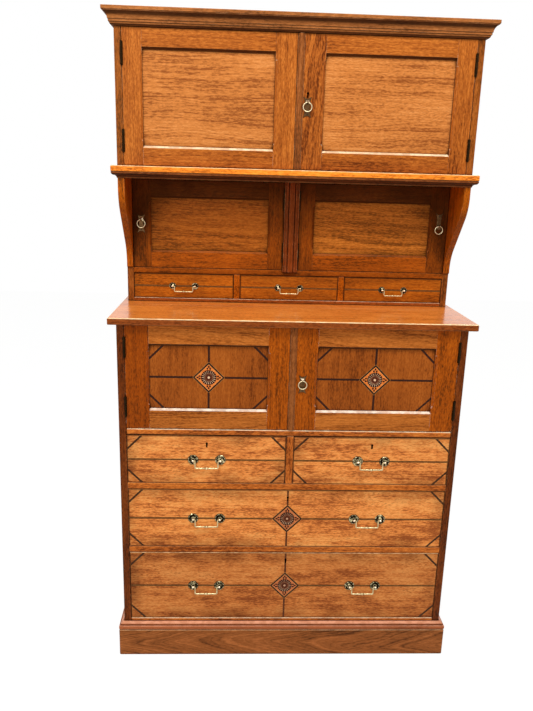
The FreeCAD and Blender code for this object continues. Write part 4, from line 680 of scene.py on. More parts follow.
# boards that differ from the rest of their tier, some of them darker for painted shade
ODD_BOARDS = {
    ("upper_door_right", FREE_STILE): "walnut_figured_stile",
    ("lower_door_left", HINGE_STILE): "walnut_shaded_stile",
    ("recess_door_left", HEAD_RAIL): "walnut_recess_shaded_head",
    ("recess_door_right", HEAD_RAIL): "walnut_recess_shaded_head",
    ("recess_door_right", PANEL): "walnut_pale_recess_panel",
}
for door in DOORS:
    stile, rail, panel = DOOR_WOODS[door.split("_")[0]]
    kinds = {HINGE_STILE: stile, FREE_STILE: stile, FOOT_RAIL: rail, HEAD_RAIL: rail,
             PANEL: panel, BEAD: "walnut_bead"}
    dress_boards(door, [ODD_BOARDS.get((door, number), kind) for number, kind in kinds.items()],
                 arris=0.6 * MM)

# drawer: the finish of its front, and what its arrises have lost
DRAWERS = {
    "long_drawer_lower": ("walnut_shaded_low_drawer", 2.6 * MM),
    "long_drawer_upper": ("walnut_drawer_front", 1.5 * MM),
    "short_drawer_left": ("walnut_drawer_front", 1.5 * MM),
    "short_drawer_right": ("walnut_drawer_front", 1.5 * MM),
    "small_drawer_left": ("walnut_small_drawer", 1.5 * MM),
    "small_drawer_middle": ("walnut_small_drawer", 1.5 * MM),
    "small_drawer_right": ("walnut_small_drawer", 1.5 * MM),
}
for drawer, (front, arris) in DRAWERS.items():
    dress_boards(drawer, [front, "deal"], arris=arris)

# node: the finishes of its boards, the finish of their front edges, what their arrises have lost.
# The first divider stands between the short drawers, the others between the small ones. The
# hutch's rails start with its foot board, floor, friezes and fascia, and end with stops, and the
# plinth's boards start with its front and its sides.
CARCASS = {
    "base_sides": (["walnut_lower_frame"], "walnut_carcass_edge"),
    "hutch_sides": (["walnut_lower_frame"], "walnut_upper_edge"),
    "upper_sides": (["walnut_lower_frame"], "walnut_upper_edge"),
    "scroll_brackets": (["walnut_bracket"],),
    "drawer_rails": (["walnut_rail"], None, 1.5 * MM),
    "drawer_dividers": (["walnut_rail", "walnut_bracket"], None, 1.5 * MM),
    "base_floors": (["walnut_floor_edge"], None, 4.6 * MM),
    "hutch_rails": (["walnut_foot_board"] + ["walnut_recess_rail"] * 4 + ["deal"], None, 2.0 * MM),
    "base_top": (["walnut_top"], "walnut_top_edge", 1.3 * MM),
    "through_shelf": (["walnut_shelf"], None, 1.1 * MM),
    "upper_inner_shelf": (["walnut_frame"],),
    "reeded_post": (["walnut_reed"], None, 0.5 * MM),
    "cornice": (["walnut_cornice"], None, 0.6 * MM),
    "shelf_moulding": (["walnut_shelf_moulding"], None, 0.5 * MM),
    "plinth_moulding": (["walnut_plinth_moulding"], None, 0.6 * MM),
    "plinth_boards": (["walnut_plinth"] * 3 + ["deal"], None, 2.4 * MM),
    "base_back_boards": (["deal"],),
    "hutch_back_boards": (["deal"],),
    "upper_top_board": (["deal"],),
    "runners_and_stops": (["deal"],),
}
for node, look in CARCASS.items():
    dress_boards(node, *look)


# ---------------------------------------------------------------- pieces made here

def polar(radius, angle):
    return radius * math.cos(angle), radius * math.sin(angle)


def circle(radius, sides):
    return [polar(radius, math.tau * step / sides) for step in range(sides)]


class Piece:
    """A mesh built up from turned, bent and cut parts, each with its finish."""

    def __init__(self, name):
        self.name = name
        self.mesh = bmesh.new()
        self.used = []
        self.scorch = self.mesh.faces.layers.float.new("scorch")
        self.rubbed = self.mesh.verts.layers.float.new("rubbed")

    def add(self, points, faces, finish_name, place=None, scorch=0.0, rubbed=None):
        if finish_name not in self.used:
            self.used.append(finish_name)
        place = place or Matrix.Identity(4)
        corners = [self.mesh.verts.new(place @ Vector(point)) for point in points]
        for corner, share in zip(corners, rubbed or ()):
            corner[self.rubbed] = share
        for face in faces:
            made = self.mesh.faces.new([corners[index] for index in face])
            made.material_index = self.used.index(finish_name)
            made.smooth = True
            made[self.scorch] = scorch

    def skin(self, rings, finish_name, place=None, scorch=0.0, closed=False):
        """Rings of points, each joined to the next. The last is joined to the first if the skin
        is closed, and otherwise each end has a flat face."""
        sides, levels = len(rings[0]), len(rings)
        points = [point for ring in rings for point in ring]
        faces = []
        if not closed:
            levels -= 1
            faces = [tuple(range(sides - 1, -1, -1)), tuple(range(levels * sides, len(points)))]
        for level in range(levels):
            low, high = level * sides, (level + 1) % len(rings) * sides
            for step in range(sides):
                beside = (step + 1) % sides
                faces.append((low + step, low + beside, high + beside, high + step))
        self.add(points, faces, finish_name, place, scorch)

    def plate(self, outline, low, high, finish_name, place=None, scorch=0.0):
        """A flat outline given a thickness."""
        rings = [[(x, y, level) for x, y in outline] for level in (low, high)]
        self.skin(rings, finish_name, place, scorch)

    def block(self, low, high, finish_name, place=None):
        outline = ((low[0], low[1]), (high[0], low[1]), (high[0], high[1]), (low[0], high[1]))
        self.plate(outline, low[2], high[2], finish_name, place)

    def turned(self, profile, finish_name, place=None, sides=28):
        """A turning about the local Z axis: the profile is (radius, height) from foot to tip."""
        rings = [[(x, y, height) for x, y in circle(radius, sides)] for radius, height in profile]
        self.skin(rings, finish_name, place)

    def rod(self, path, radii, finish_name, place=None, sides=16):
        """A round bar bent along a path in the local XY plane, with its own radius at each point."""
        rings = []
        for index, (x, y) in enumerate(path):
            before, after = path[max(index - 1, 0)], path[min(index + 1, len(path) - 1)]
            ahead = (Vector(after) - Vector(before)).normalized()
            rings.append([(x - ahead.y * out, y + ahead.x * out, rise)
                          for out, rise in circle(radii[index], sides)])
        self.skin(rings, finish_name, place)

    def loop(self, radius, wire, finish_name, place, around=56, sides=14):
        """A closed ring of round wire in the local XY plane."""
        rings = []
        for step in range(around):
            angle = math.tau * step / around
            rings.append([(*polar(radius + out, angle), rise) for out, rise in circle(wire, sides)])
        self.skin(rings, finish_name, place, closed=True)

    def relief(self, outline, levels, height, finish_name, place, proud, around=96):
        """A cast disc: its outline's radius and its height change with the angle, and between
        the two heights in proud it goes from tarnished to rubbed bright."""
        angles = [math.tau * step / around for step in range(around)]
        points = [(0.0, 0.0, height(0.0, 0.0))]
        for level in range(1, levels + 1):
            share = level / levels
            points += [(*polar(outline(angle) * share, angle), height(share, angle))
                       for angle in angles]
        rim = len(points)
        points += [(*polar(outline(angle), angle), 0.0) for angle in angles]
        faces = [(0, 1 + step, 1 + (step + 1) % around) for step in range(around)]
        for first in range(1, rim, around):
            for step in range(around):
                low, beside = first + step, first + (step + 1) % around
                faces.append((low, low + around, beside + around, beside))
        faces.append(tuple(range(rim + around - 1, rim - 1, -1)))
        dull, bright = proud
        rubbed = [min(1.0, max(0.0, (point[2] - dull) / (bright - dull))) for point in points]
        self.add(points, faces, finish_name, place, rubbed=rubbed)

    def done(self, body, replaces=(), arris=0.0):
        """Makes the piece an object that rides on a body, in the slot of its material."""
        mesh = bpy.data.meshes.new(self.name)
        bmesh.ops.recalc_face_normals(self.mesh, faces=self.mesh.faces)
        self.mesh.to_mesh(mesh)
        self.mesh.free()
        for name in self.used:
            mesh.materials.append(finish[name])
        mesh.set_sharp_from_angle(angle=math.radians(SHARP))
        piece = bpy.data.objects.new(self.name, mesh)
        bpy.context.scene.collection.objects.link(piece)
        if arris:
            soften(piece, arris)
        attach(piece, body)
        if replaces:
            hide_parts(*replaces)


def on_front(x, y, z, turn=0.0):
    """Local X to the right, local Y up and local Z out of the front, at a point."""
    upright = Matrix(((1, 0, 0, x), (0, 0, -1, y), (0, 1, 0, z), (0, 0, 0, 1)))
    return upright @ Matrix.Rotation(turn, 4, "Z")


# ---------------------------------------------------------------- stringing and marquetry

CROSS_STRING = 5.6 * MM    # width of the lines along and up a front
DOOR_STRING = 6.4 * MM     # width of the cross on a door's panel
CORNER_STRING = 6 * MM     # width of the line across a corner
CORNER_CUT = 43 * MM       # where a corner line meets the edges
DIAMOND = 49 * MM          # half diagonal of a diamond
BORDER = 4.6 * MM          # width of a diamond's border
HAIR = 0.8 * MM            # width of the pale line on each side of it
PROUD = 0.12 * MM          # how far an inlay stands above the wood
LAYER = 0.05 * MM          # each piece of the marquetry above the one that it lies on
PETALS = 20
ROSETTE = 0.5              # radius of the rosette as a share of its diamond's half diagonal
# rings of the rosette's sand-shaded ground: inner and outer radius as shares, how far scorched
GROUND_RINGS = ((0.0, 0.36, 0.9), (0.36, 0.56, 0.3), (0.56, 0.96, 1.0))
DOT_LONG, DOT_WIDE = 3.7 * MM, 2.8 * MM    # half length and half width of a dot
# three dots in each point of a diamond: how far out and how far over, as shares
DOT_PLACES = ((0.7, 0.0), (0.575, 0.085), (0.575, -0.085))
DARK_LEAF, DARK_DOT = 0.1, 0.2     # how far the dark veneers are scorched

# kind of line: the finish of its outer strips and of its core
LINES = {"drawer": ("drawer_string_edge", "drawer_string"), "door": ("door_string", "door_core"),
         "corner": ("door_string", "corner_core"), "upright": ("door_string", "upright_core")}
# a line's strips: the shares of its width between which each lies, and which finish it has
BANDS = ((-0.5, -0.24, 0), (-0.24, 0.24, 1), (0.24, 0.5, 0))


def strip(piece, start, end, kind, place, width=CROSS_STRING):
    """A straight line of stringing, made of a core between two darker strips."""
    start, end = Vector(start), Vector(end)
    beside = (end - start).normalized().orthogonal() * width
    for low, high, band in BANDS:
        outline = (start + beside * high, end + beside * high, end + beside * low,
                   start + beside * low)
        piece.plate(outline, 0.0, PROUD, LINES[kind][band], place)


def corner_lines(piece, low, high, kind, place):
    """A line across each corner of a rectangle, cut flush with its edges."""
    wide = CORNER_STRING * math.sqrt(2)
    for x, way in ((low[0], 1), (high[0], -1)):
        for y, rise in ((low[1], 1), (high[1], -1)):
            for near, far, band in BANDS:
                near, far = CORNER_CUT + wide * near, CORNER_CUT + wide * far
                outline = ((x + way * near, y), (x + way * far, y), (x, y + rise * far),
                           (x, y + rise * near))
                piece.plate(outline, 0.0, PROUD, LINES[kind][band], place)


def petal(low, high, half_low, half_high, middle):
    """An outline that widens from its root at low to a round end at high."""
    root = [polar(low, middle + half_low), polar(low, middle - half_low)]
    bulge = high * math.sin(half_high)
    centre = Vector(polar(high, middle))
    turns = [middle - math.pi / 2 + math.pi * step / 6 for step in range(7)]
    return root + [centre + Vector(polar(bulge, turn)) for turn in turns]


def lozenge(piece, low, high, finish_name, place):
    """The border of a diamond, between two half diagonals."""
    ways = [Vector((1, 0)), Vector((0, 1)), Vector((-1, 0)), Vector((0, -1))]
    for here, there in zip(ways, ways[1:] + ways[:1]):
        outline = (here * low, here * high, there * high, there * low)
        piece.plate(outline, 0.0, PROUD, finish_name, place)


def rosette(piece, disc, faded, place):
    """A shaded ground, dark petals with pale ones between them, and a round eye in two layers."""
    pitch = math.tau / PETALS
    level, upper = PROUD + LAYER, PROUD + LAYER * 2
    for low, high, shade in GROUND_RINGS:
        for step in range(PETALS * 2):
            start, end = pitch / 2 * step, pitch / 2 * (step + 1)
            tint = min(1.0, shade + 0.5 * (step % 2))
            outline = [polar(high * disc, start), polar(high * disc, end)]
            outline += [polar(low * disc, end), polar(low * disc, start)] if low else [(0.0, 0.0)]
            piece.plate(outline, PROUD, level, "sand_veneer", place, tint)
    for number in range(PETALS):
        middle = pitch * (number + 0.5)
        dark = petal(0.56 * disc, 0.9 * disc, pitch * 0.2, pitch * 0.36, middle)
        piece.plate(dark, level, upper, "dark_veneer", place, DARK_LEAF)
        beside = middle + pitch / 2
        pale = petal(0.5 * disc, 0.84 * disc, pitch * 0.07, pitch * 0.11, beside)
        shade = 0.1 + faded + 0.24 * math.sin(beside) + luck.uniform(-0.15, 0.15)
        piece.plate(pale, level, upper + LAYER, "pale_veneer", place, shade)
    eye, pupil = circle(0.33 * disc, 24), circle(0.15 * disc, 24)
    piece.plate(eye, level, upper + LAYER, "dark_veneer", place, 0.9)
    piece.plate(pupil, level, upper + LAYER * 2, "pale_veneer", place, faded * 1.6)


def marquetry(piece, ground, faded, place):
    """A diamond: its border between two pale lines, its ground, a rosette and its dots.
    faded says how dark its pale veneers have gone."""
    border, hair = BORDER * math.sqrt(2), HAIR * math.sqrt(2)
    inner = DIAMOND - border
    lozenge(piece, DIAMOND, DIAMOND + hair, "pale_hairline", place)
    lozenge(piece, inner, DIAMOND, "door_string", place)
    lozenge(piece, inner - hair, inner, "pale_hairline", place)
    piece.plate(circle(inner - hair, 4), 0.0, PROUD, ground, place)
    rosette(piece, DIAMOND * ROSETTE, faded, place)
    for turn in range(4):
        way = Vector(polar(DIAMOND, math.pi / 2 * turn))
        for out, over in DOT_PLACES:
            centre = way * out + way.orthogonal() * over
            along = way.normalized() * DOT_LONG
            across = way.orthogonal().normalized() * DOT_WIDE
            dot = [centre + along * x + across * y for x, y in circle(1.0, 12)]
            piece.plate(dot, PROUD, PROUD + LAYER, "dark_veneer", place, DARK_DOT)


KEYHOLE_BELOW_TOP = 25 * MM        # from a drawer front's top to the middle of the bow
KEYHOLE_BOW = 2.5 * MM     # radius of its round top
KEYHOLE_LONG = 14.5 * MM
KEYHOLE_SLOT = 1.4 * MM    # half the slot's width
KEYHOLE_WORN = 1.1 * MM    # its mouth is worn wider by this all round
KEYHOLE_BLACK = (-0.5 * MM, 0.05 * MM)     # the painted shade in it, a black plate from behind the face to before it


def keyhole_shadow(piece, x, face, z):
    """A black plate that paints the shade in a keyhole's worn mouth: a round bow with a slot hanging
    from it.
    """
    round_bow, half_slot = KEYHOLE_BOW + KEYHOLE_WORN, KEYHOLE_SLOT + KEYHOLE_WORN
    foot = math.asin(half_slot / round_bow)
    bow = [polar(round_bow, foot - math.pi / 2 + (math.tau - 2 * foot) * step / 20)
           for step in range(21)]
    slot = KEYHOLE_BOW - KEYHOLE_LONG - KEYHOLE_WORN
    outline = [(-half_slot, slot), (half_slot, slot)] + bow
    piece.plate(outline, *KEYHOLE_BLACK, "keyhole", on_front(x, face, z))


def drawer_inlay(drawer):
    """Stringing on a drawer front: a line at half height, one across each corner of a large
    drawer, and on a long one an upright line with a diamond where the two cross."""
    _, low, high = boards_of(drawer)[0]
    middle, keyhole = (low + high) / 2, high.z - KEYHOLE_BELOW_TOP
    _, arris = DRAWERS[drawer]
    trim = Vector((arris, 0.0, arris))
    low, high = low + trim, high - trim
    piece = Piece(drawer + "_inlay")
    place = on_front(0.0, low.y, 0.0)
    if drawer.startswith("long"):
        bow = keyhole + KEYHOLE_BOW + KEYHOLE_WORN
        foot = bow - KEYHOLE_LONG - 2 * KEYHOLE_WORN
        for start, end in ((low.x, middle.x - DIAMOND), (middle.x + DIAMOND, high.x)):
            strip(piece, (start, middle.z), (end, middle.z), "drawer", place)
        for start, end in ((bow, high.z), (middle.z + DIAMOND, foot),
                           (low.z, middle.z - DIAMOND)):
            strip(piece, (middle.x, start), (middle.x, end), "upright", place)
        marquetry(piece, "salmon_veneer", 0.4, on_front(middle.x, low.y, middle.z))
    else:
        strip(piece, (low.x, middle.z), (high.x, middle.z), "drawer", place)
    if not drawer.startswith("small"):
        corner_lines(piece, (low.x, low.z), (high.x, high.z), "corner", place)
        keyhole_shadow(piece, middle.x, low.y, keyhole)
    piece.done(drawer)


def door_inlay(door):
    """Stringing on a lower door's panel: a cross with a diamond, and a line at each corner."""
    boards = boards_of(door)
    stiles = sorted((low.x, high.x) for _, low, high in boards[:FOOT_RAIL])
    foot, head = boards[FOOT_RAIL][2].z, boards[HEAD_RAIL][1].z
    face = boards[PANEL][1].y
    left, right = stiles[0][1], stiles[1][0]
    x, z = (left + right) / 2, (foot + head) / 2
    piece = Piece(door + "_inlay")
    place = on_front(0.0, face, 0.0)
    for start, end in (((left, z), (x - DIAMOND, z)), ((x + DIAMOND, z), (right, z)),
                       ((x, foot), (x, z - DIAMOND)), ((x, z + DIAMOND), (x, head))):
        strip(piece, start, end, "door", place, DOOR_STRING)
    corner_lines(piece, (left, foot), (right, head), "door", place)
    marquetry(piece, "orange_veneer", 0.1, on_front(x, face, z))
    piece.done(door)


for drawer in DRAWERS:
    drawer_inlay(drawer)
for door in ("lower_door_left", "lower_door_right"):
    door_inlay(door)


# ---------------------------------------------------------------- handles

# a handle: the radius of its roses, the bail between its pins and between its arms, how far it
# hangs, and the radii of its bar and of the bead in the middle
LARGE = {"rose": 17 * MM, "spread": 86 * MM, "arms": 72 * MM, "drop": 25 * MM, "bar": 2.5 * MM,
         "bead": 4.4 * MM}
SMALL = {"rose": 11.5 * MM, "spread": 75 * MM, "arms": 61 * MM, "drop": 18 * MM,
         "bar": 2.1 * MM, "bead": 3.8 * MM}
ROSE_PETALS = 8
POST_REACH = 10.5 * MM     # from the drawer's face to the bail's pins
FRONT_BOARD = 20 * MM      # thickness of a front: a post with its bolt goes through it
LOCK_WIDE, LOCK_DEEP = 40 * MM, 10 * MM    # a lock case is wider than this and not as deep


def style_of(name):
    return SMALL if name.startswith("small") else LARGE


def ridge(share, middle, half):
    """1 at the middle of a ridge, fading to either side of it."""
    return math.exp(-((share - middle) / half) ** 2)


def rose(piece, x, face, z, style):
    """A cast rose: dished petals with raised rims round a collar."""
    radius = style["rose"]
    thick = radius / 17

    def petal_share(angle):
        return abs(math.cos(ROSE_PETALS * angle / 2))

    def outline(angle):
        return radius * (0.93 + 0.07 * petal_share(angle))

    def height(share, angle):
        petal = petal_share(angle)
        rim = ridge(share, 0.86, 0.1) * (0.45 + 0.55 * petal)
        dish, collar = ridge(share, 0.6, 0.14), ridge(share, 0.3, 0.1)
        return thick * (1.7 + 1.5 * rim + 1.3 * collar - 1.2 * dish * petal
                        + 0.7 * dish * (1 - petal) - 0.9 * share ** 12)

    piece.relief(outline, 18, height, "rose_brass", on_front(x, face, z, math.pi / ROSE_PETALS),
                 (2.5 * thick, 3.0 * thick))


def handle_post(piece, x, face, z, style):
    """A turned post that ends in a ball round the bail's pin, with its bolt and square nut."""
    place = on_front(x, face, z)
    size = style["bead"] / LARGE["bead"]
    ball = 3.9 * MM * size
    collar = [(5.0 * MM * size, 1.5 * MM), (4.8 * MM * size, 3.2 * MM), (3.2 * MM * size, 4.0 * MM),
              (2.6 * MM * size, 6.5 * MM), (2.4 * MM * size, POST_REACH - ball * 0.8)]
    piece.turned(collar, "rose_brass", place)
    head = [(ball * math.cos(angle), POST_REACH + ball * math.sin(angle))
            for angle in (step * math.pi / 14 for step in range(-5, 7))]
    piece.turned(head + [(0.8 * MM, POST_REACH + ball)], "boss_brass", place)
    bolt, chamfer, nut, nut_thick = 2.5 * MM, 0.4 * MM, 5 * MM, 4 * MM
    tip = -FRONT_BOARD - 6 * MM
    piece.turned(((bolt - chamfer, tip), (bolt, tip + chamfer), (bolt, 0.0)), "iron", place,
                 sides=14)
    piece.block((-nut, -nut, -FRONT_BOARD - nut_thick), (nut, nut, -FRONT_BOARD), "iron",
                on_front(x, face, z, luck.uniform(-0.4, 0.4)))


def bail(name, joint, style):
    """A bail: pins into the posts, square-cornered arms, and a bar that swells to a bead."""
    axis = Vector(joint["pos_m"])
    half, drop, bar = style["arms"] / 2, style["drop"], style["bar"]
    bend, turns = 3.2 * MM, (0.4, 0.8, 1.2, math.pi / 2)
    pin_end = style["spread"] / 2 + 1.2 * MM
    side = [(pin_end, 0.0), (half + bend, 0.0)]
    side += [(half + bend - bend * math.sin(angle), -bend + bend * math.cos(angle))
             for angle in turns]
    side.append((half, -drop / 2))
    side += [(half - bend + bend * math.cos(angle), -drop + bend - bend * math.sin(angle))
             for angle in (0.0, *turns)]
    side += [(half * share, -drop) for share in (0.75, 0.5, 0.26, 0.18)]
    # the radius at each of these points, as shares of the bar's
    swell = [0.66, 0.7] + [0.8] * 4 + [0.9] + [0.95] * 5 + [0.98, 1.06, 1.16, 0.9]
    bead = style["bead"]
    middle = [(bead * 1.25, 0.72 * bead), (bead * 1.02, 0.78 * bead), (bead * 0.95, 0.55 * bead)]
    middle += [(bead * math.cos(angle), bead * math.sin(angle) * 0.98)
               for angle in (0.6, 0.9, 1.25, math.pi / 2)]
    path = side + [(x, -drop) for x, _ in middle]
    radii = [bar * share for share in swell] + [radius for _, radius in middle]
    path += [(-x, y) for x, y in path[-2::-1]]
    radii += radii[-2::-1]
    piece = Piece(name + "_cast")
    piece.rod(path[::-1], radii, "bail_brass", on_front(*axis))
    piece.done(name, replaces=(name,))


def lock_case(piece, low, high):
    """A cut lock: its case and the four screws that hold it, behind the front."""
    piece.block(low, high, "lock_brass")
    inset = 5 * MM
    screw = ((2.4 * MM, 0.0), (2.2 * MM, 0.5 * MM), (0.6 * MM, 0.9 * MM))
    backward = Matrix.Rotation(-math.pi / 2, 4, "X")
    for x in (low.x + inset, high.x - inset):
        for z in (low.z + inset, high.z - inset):
            piece.turned(screw, "iron", Matrix.Translation((x, high.y, z)) @ backward, sides=16)


joints = {joint["child"]: joint for joint in frame["joints"]}
for drawer in DRAWERS:
    style = style_of(drawer)
    piece = Piece(drawer + "_handles")
    for _, low, high in boards_of(drawer + "_fittings"):
        middle = (low + high) / 2
        wide, deep = high.x - low.x, high.y - low.y
        if wide > 1.5 * style["rose"] and deep > FRONT_BOARD:
            face = boards_of(drawer)[0][1].y
            rose(piece, middle.x, face, middle.z, style)
            handle_post(piece, middle.x, face, middle.z, style)
        elif wide > LOCK_WIDE:
            lock_case(piece, low, high)
    piece.done(drawer, replaces=(drawer + "_fittings",), arris=0.15 * MM)
for name, joint in joints.items():
    if "_bail" in name:
        bail(name, joint, style_of(name))


# ---------------------------------------------------------------- ring pulls, locks, hinges

PLATE_HIGH, PLATE_WIDE, PLATE_SHEET = 58 * MM, 22.5 * MM, 1.9 * MM
# the plate's outline, as shares of its half width and half height
WAIST, SWELL, HORN, DIP_WIDE = 0.62, 0.16, 0.3, 0.82
HORN_FROM, DIP_DEEP = 0.62, 0.17
RING_RADIUS, RING_WIRE = 12.8 * MM, 1.7 * MM
# the lug that the ring hangs in: above the plate's middle, out from it, radius, half thickness
LUG_RISE, LUG_OUT, LUG_RADIUS, LUG_HALF = 12.8 * MM, 8 * MM, 2.9 * MM, 1.8 * MM
# the heads of a nail and of a screw: (radius, height) from foot to tip
NAIL = ((2.0 * MM, -0.4 * MM), (1.9 * MM, 0.35 * MM), (0.7 * MM, 0.75 * MM))
SCREW = ((2.6 * MM, -0.6 * MM), (2.6 * MM, 0.05 * MM), (2.3 * MM, 0.12 * MM))
KNUCKLE, LEAF = 3.5 * MM, 1.2 * MM         # radius of a hinge's knuckles, thickness of its leaves


def fishtail_outline():
    """The plate's outline: a waist, shoulders that sweep out to horns, and a dip between them."""
    half, up = PLATE_WIDE / 2, PLATE_HIGH / 2
    quarter = []
    for share in (step / 12 for step in range(13)):
        waist = WAIST + SWELL * math.sin(share * math.pi / 2) ** 2
        flare = HORN * max(0.0, (share - HORN_FROM) / (1 - HORN_FROM)) ** 1.6
        quarter.append((half * (waist + flare), up * share))
    for angle in (math.pi / 2 * step / 7 for step in range(1, 8)):
        quarter.append((half * math.cos(angle) * DIP_WIDE,
                        up * (1 - DIP_DEEP * math.sin(angle) ** 0.8)))
    upper = quarter + [(-x, y) for x, y in quarter[-2::-1]]
    return upper + [(x, -y) for x, y in upper[-2:0:-1]]


def ring_plate(piece, x, face, z, flipped):
    """A ring pull's plate: fishtails, a pyramid boss, the lug for the ring and two nails."""
    place = on_front(x, face, z, math.pi if flipped else 0.0)
    piece.plate(fishtail_outline(), 0.0, PLATE_SHEET, "plate_brass", place)
    rise = LUG_RISE + 2.5 * MM
    side, tip, crest, lift = 5.2 * MM, 6.5 * MM, 0.8 * MM, 0.3 * MM
    corners = [(-side, rise - side * 0.55, PLATE_SHEET), (side, rise - side * 0.55, PLATE_SHEET),
               (side, rise + side * 0.8, PLATE_SHEET), (-side, rise + side * 0.8, PLATE_SHEET),
               (-crest, rise + lift, tip), (crest, rise + lift, tip)]
    faces = ((0, 1, 5, 4), (1, 2, 5), (2, 3, 4, 5), (3, 0, 4), (3, 2, 1, 0))
    piece.add(corners, faces, "boss_brass", place)
    lug = [(LUG_RISE + LUG_RADIUS, PLATE_SHEET)]
    for step in range(9):
        out, up = polar(LUG_RADIUS, math.pi * step / 8)
        lug.append((LUG_RISE + out, LUG_OUT + up))
    lug.append((LUG_RISE - LUG_RADIUS, PLATE_SHEET))
    across = Matrix(((0, 0, 1, 0), (1, 0, 0, 0), (0, 1, 0, 0), (0, 0, 0, 1)))
    piece.plate(lug, -LUG_HALF, LUG_HALF, "plate_brass", place @ across)
    for share in (0.62, -0.7):
        nail = place @ Matrix.Translation((0.0, PLATE_HIGH / 2 * share, PLATE_SHEET))
        piece.turned(NAIL, "iron", nail, sides=18)


def butt_hinge(piece, low, high, centre, side, levels, pin):
    """A leaf let into the wood beside the axis: its plate on one side, knuckles, pin, screws."""
    edge = centre.x + side * 0.75 * MM
    near, far = sorted((edge, edge + side * LEAF))
    axis = Matrix.Translation((centre.x, centre.y, 0.0))
    back = centre.y + KNUCKLE
    piece.block((near, back + 0.2 * MM, low.z), (far, high.y, high.z), "hinge_brass")
    rim = 0.4 * MM
    for foot, head in levels:
        piece.block((near, centre.y, foot), (far, back + 0.3 * MM, head), "hinge_brass")
        profile = ((KNUCKLE - rim, foot), (KNUCKLE, foot + rim), (KNUCKLE, head - rim),
                   (KNUCKLE - rim, head))
        piece.turned(profile, "hinge_brass", axis)
    if pin:
        profile = ((0.6 * MM, low.z - 0.7 * MM), (1.5 * MM, low.z - 0.2 * MM),
                   (1.5 * MM, high.z + 0.2 * MM), (0.6 * MM, high.z + 0.7 * MM))
        piece.turned(profile, "hinge_brass", axis)
    outward = Matrix.Rotation(-side * math.pi / 2, 4, "Y")
    for up, behind in ((0.14, 0.62), (0.5, 0.4), (0.86, 0.62)):
        spot = Vector((edge, back + (high.y - back) * behind, low.z + (high.z - low.z) * up))
        turn = Matrix.Rotation(luck.uniform(0, 3), 4, "Z")
        place = Matrix.Translation(spot) @ outward @ turn
        piece.turned(SCREW, "iron", place, sides=18)
        piece.block((-2.0 * MM, -0.35 * MM, 0.06 * MM), (2.0 * MM, 0.35 * MM, 0.16 * MM),
                    "hinge_brass", place)


def knuckles_of(low, high, moving):
    """The middle third of a hinge is the moving leaf's knuckle, the outer two are the frame's."""
    third = (high - low) / 3
    gap = 0.1 * MM
    if moving:
        return ((low + third + gap, high - third - gap),)
    return ((low, low + third), (high - third, high))


HINGES = 2                 # a door's fittings start with its hinge leaves
NEAR = Vector((5, 20, 200)) * MM       # a frame leaf belongs to the door whose axis is this near


def hinge_axis(door):
    return Vector(joints[door]["pos_m"])


def frame_side(door):
    """Which way the frame's leaves lie from a door's axis. The recess doors hang on the post."""
    outward = 1 if hinge_axis(door).x > 0 else -1
    return -outward if "recess" in door else outward


def door_brassware(door):
    """The hinge leaves of a door, its lock case and keyhole, and its ring pull's plate."""
    piece = Piece(door + "_brassware")
    for number, (_, low, high) in enumerate(boards_of(door + "_fittings")):
        middle = (low + high) / 2
        if number < HINGES:
            butt_hinge(piece, low, high, hinge_axis(door), -frame_side(door),
                       knuckles_of(low.z, high.z, True), False)
        elif high.y - low.y < LOCK_DEEP:
            lock_case(piece, low, high)
            keyhole_shadow(piece, middle.x, boards_of(door)[FREE_STILE][1].y, middle.z)
        else:
            ring_level = joints[door + "_ring"]["pos_m"][2]
            ring_plate(piece, middle.x, high.y, middle.z, ring_level <= middle.z)
    piece.done(door, replaces=(door + "_fittings",), arris=0.2 * MM)


frame_leaves = Piece("frame_hinge_leaves")
for door in DOORS:
    door_brassware(door)
    centre = hinge_axis(door)
    for _, low, high in boards_of("hinge_frame_leaves"):
        away = (low + high) / 2 - centre
        if all(abs(away[axis]) < NEAR[axis] for axis in range(3)):
            butt_hinge(frame_leaves, low, high, centre, frame_side(door),
                       knuckles_of(low.z, high.z, False), True)
frame_leaves.done("root", replaces=("hinge_frame_leaves",), arris=0.2 * MM)

for name in joints:
    if name.endswith("_ring"):
        low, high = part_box(name)
        piece = Piece(name + "_wire")
        piece.loop(RING_RADIUS, RING_WIRE, "ring_brass", on_front(*(low + high) / 2))
        piece.done(name, replaces=(name,))


# ---------------------------------------------------------------- bead under the shelf

SHELF_BEAD = 2.6 * MM      # radius


def shelf_bead():
    """A round bead tucked under the shelf, along its front and down each of its ends."""
    low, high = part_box("through_shelf")
    inset, turn, sunk = SHELF_BEAD + 3 * MM, 2 * MM, 0.1 * MM
    wide, front, back = high.x - inset, low.y + inset, high.y - 1 * MM
    right = [(wide, back), (wide, front + turn), (wide - 0.3 * turn, front + 0.3 * turn),
             (wide - turn, front)]
    path = right + [(-x, y) for x, y in right[::-1]]
    piece = Piece("shelf_bead")
    piece.rod(path, [SHELF_BEAD] * len(path), "walnut_shelf",
              Matrix.Translation((0.0, 0.0, low.z - SHELF_BEAD + sunk)))
    piece.done("root")


shelf_bead()


# ---------------------------------------------------------------- stage, lights, camera

AMBIENT = 0.42             # strength of the world as light
FLOOR_REACH = 7.0
FLOOR_GLOW, FLOOR_WHITE = 1.16, 0.78       # strength of the floor's glow, and its share to the eye


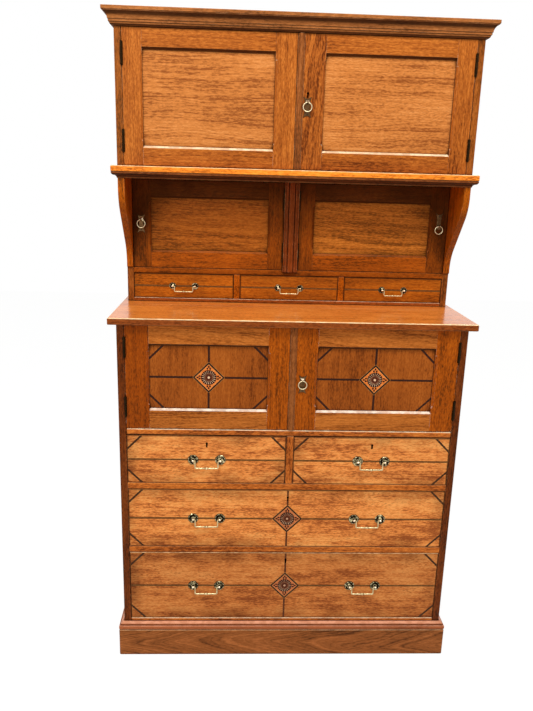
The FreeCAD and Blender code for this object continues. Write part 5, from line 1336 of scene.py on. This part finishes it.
def make_stage():
    """A pale floor that keeps a soft shadow."""
    material = bpy.data.materials.new("pale_floor")
    w = empty_tree(material)
    pale = w.place("ShaderNodeBsdfDiffuse", {"Color": paint("eeeeec")})
    glow = w.place("ShaderNodeEmission", {"Color": WHITE, "Strength": FLOOR_GLOW})
    blend = w.place("ShaderNodeMixShader",
                    {0: w.times(w.seen(), FLOOR_WHITE), 1: pale.outputs[0], 2: glow.outputs[0]})
    w.place("ShaderNodeOutputMaterial", {"Surface": blend.outputs[0]})
    mesh = bpy.data.meshes.new("floor")
    corners = ((-1, -1), (1, -1), (1, 1), (-1, 1))
    mesh.from_pydata([(x * FLOOR_REACH, y * FLOOR_REACH, 0.0) for x, y in corners], [],
                     [(0, 1, 2, 3)])
    mesh.materials.append(material)
    floor = bpy.data.objects.new("floor", mesh)
    floor.location.z = -0.2 * MM
    bpy.context.scene.collection.objects.link(floor)


def make_world():
    """White to the eye and in the gloss, softer as light on the wood."""
    world = bpy.data.worlds.new("studio")
    bpy.context.scene.world = world
    w = empty_tree(world)
    strength = w.plus(AMBIENT, w.times(w.seen(), 1.0 - AMBIENT))
    back = w.place("ShaderNodeBackground", {"Color": WHITE, "Strength": strength})
    w.place("ShaderNodeOutputWorld", {"Surface": back.outputs[0]})


def softbox(name, place, aim, size, power):
    """A rectangular light, in metres and watts, turned to shine on a point."""
    light = bpy.data.lights.new(name, "AREA")
    light.shape = "RECTANGLE"
    light.size, light.size_y = size
    light.energy = power
    lamp = bpy.data.objects.new(name, light)
    lamp.location = place
    lamp.rotation_euler = (Vector(aim) - Vector(place)).to_track_quat("-Z", "Y").to_euler()
    bpy.context.scene.collection.objects.link(lamp)


EYE = (-0.1735, -2.2176, 1.5727)
YAW, PITCH, ROLL = 2.549, -14.689, 1.599   # degrees: to the right, up, and leaning over


def make_camera():
    """Standing before the press, a little left of its middle, looking down at it."""
    camera = bpy.data.cameras.new("camera")
    camera.lens = 34.42
    camera.sensor_width = 36.0
    camera.shift_x = 0.00126
    camera.shift_y = 0.00016
    seat = bpy.data.objects.new("camera", camera)
    seat.matrix_world = (Matrix.Translation(EYE)
                         @ Matrix.Rotation(math.radians(-YAW), 4, "Z")
                         @ Matrix.Rotation(math.radians(90 + PITCH), 4, "X")
                         @ Matrix.Rotation(math.radians(ROLL), 4, "Z"))
    bpy.context.scene.collection.objects.link(seat)
    bpy.context.scene.camera = seat


make_stage()
make_world()
softbox("overhead", place=(0.0, -1.6, 3.5), aim=(0.0, -0.1, 1.0), size=(3.2, 0.9), power=70.0)
softbox("front_fill", place=(-1.4, -3.4, 2.4), aim=(0.0, 0.0, 1.0), size=(1.6, 1.6), power=22.0)
make_camera()
bpy.context.scene.view_settings.view_transform = "Standard"
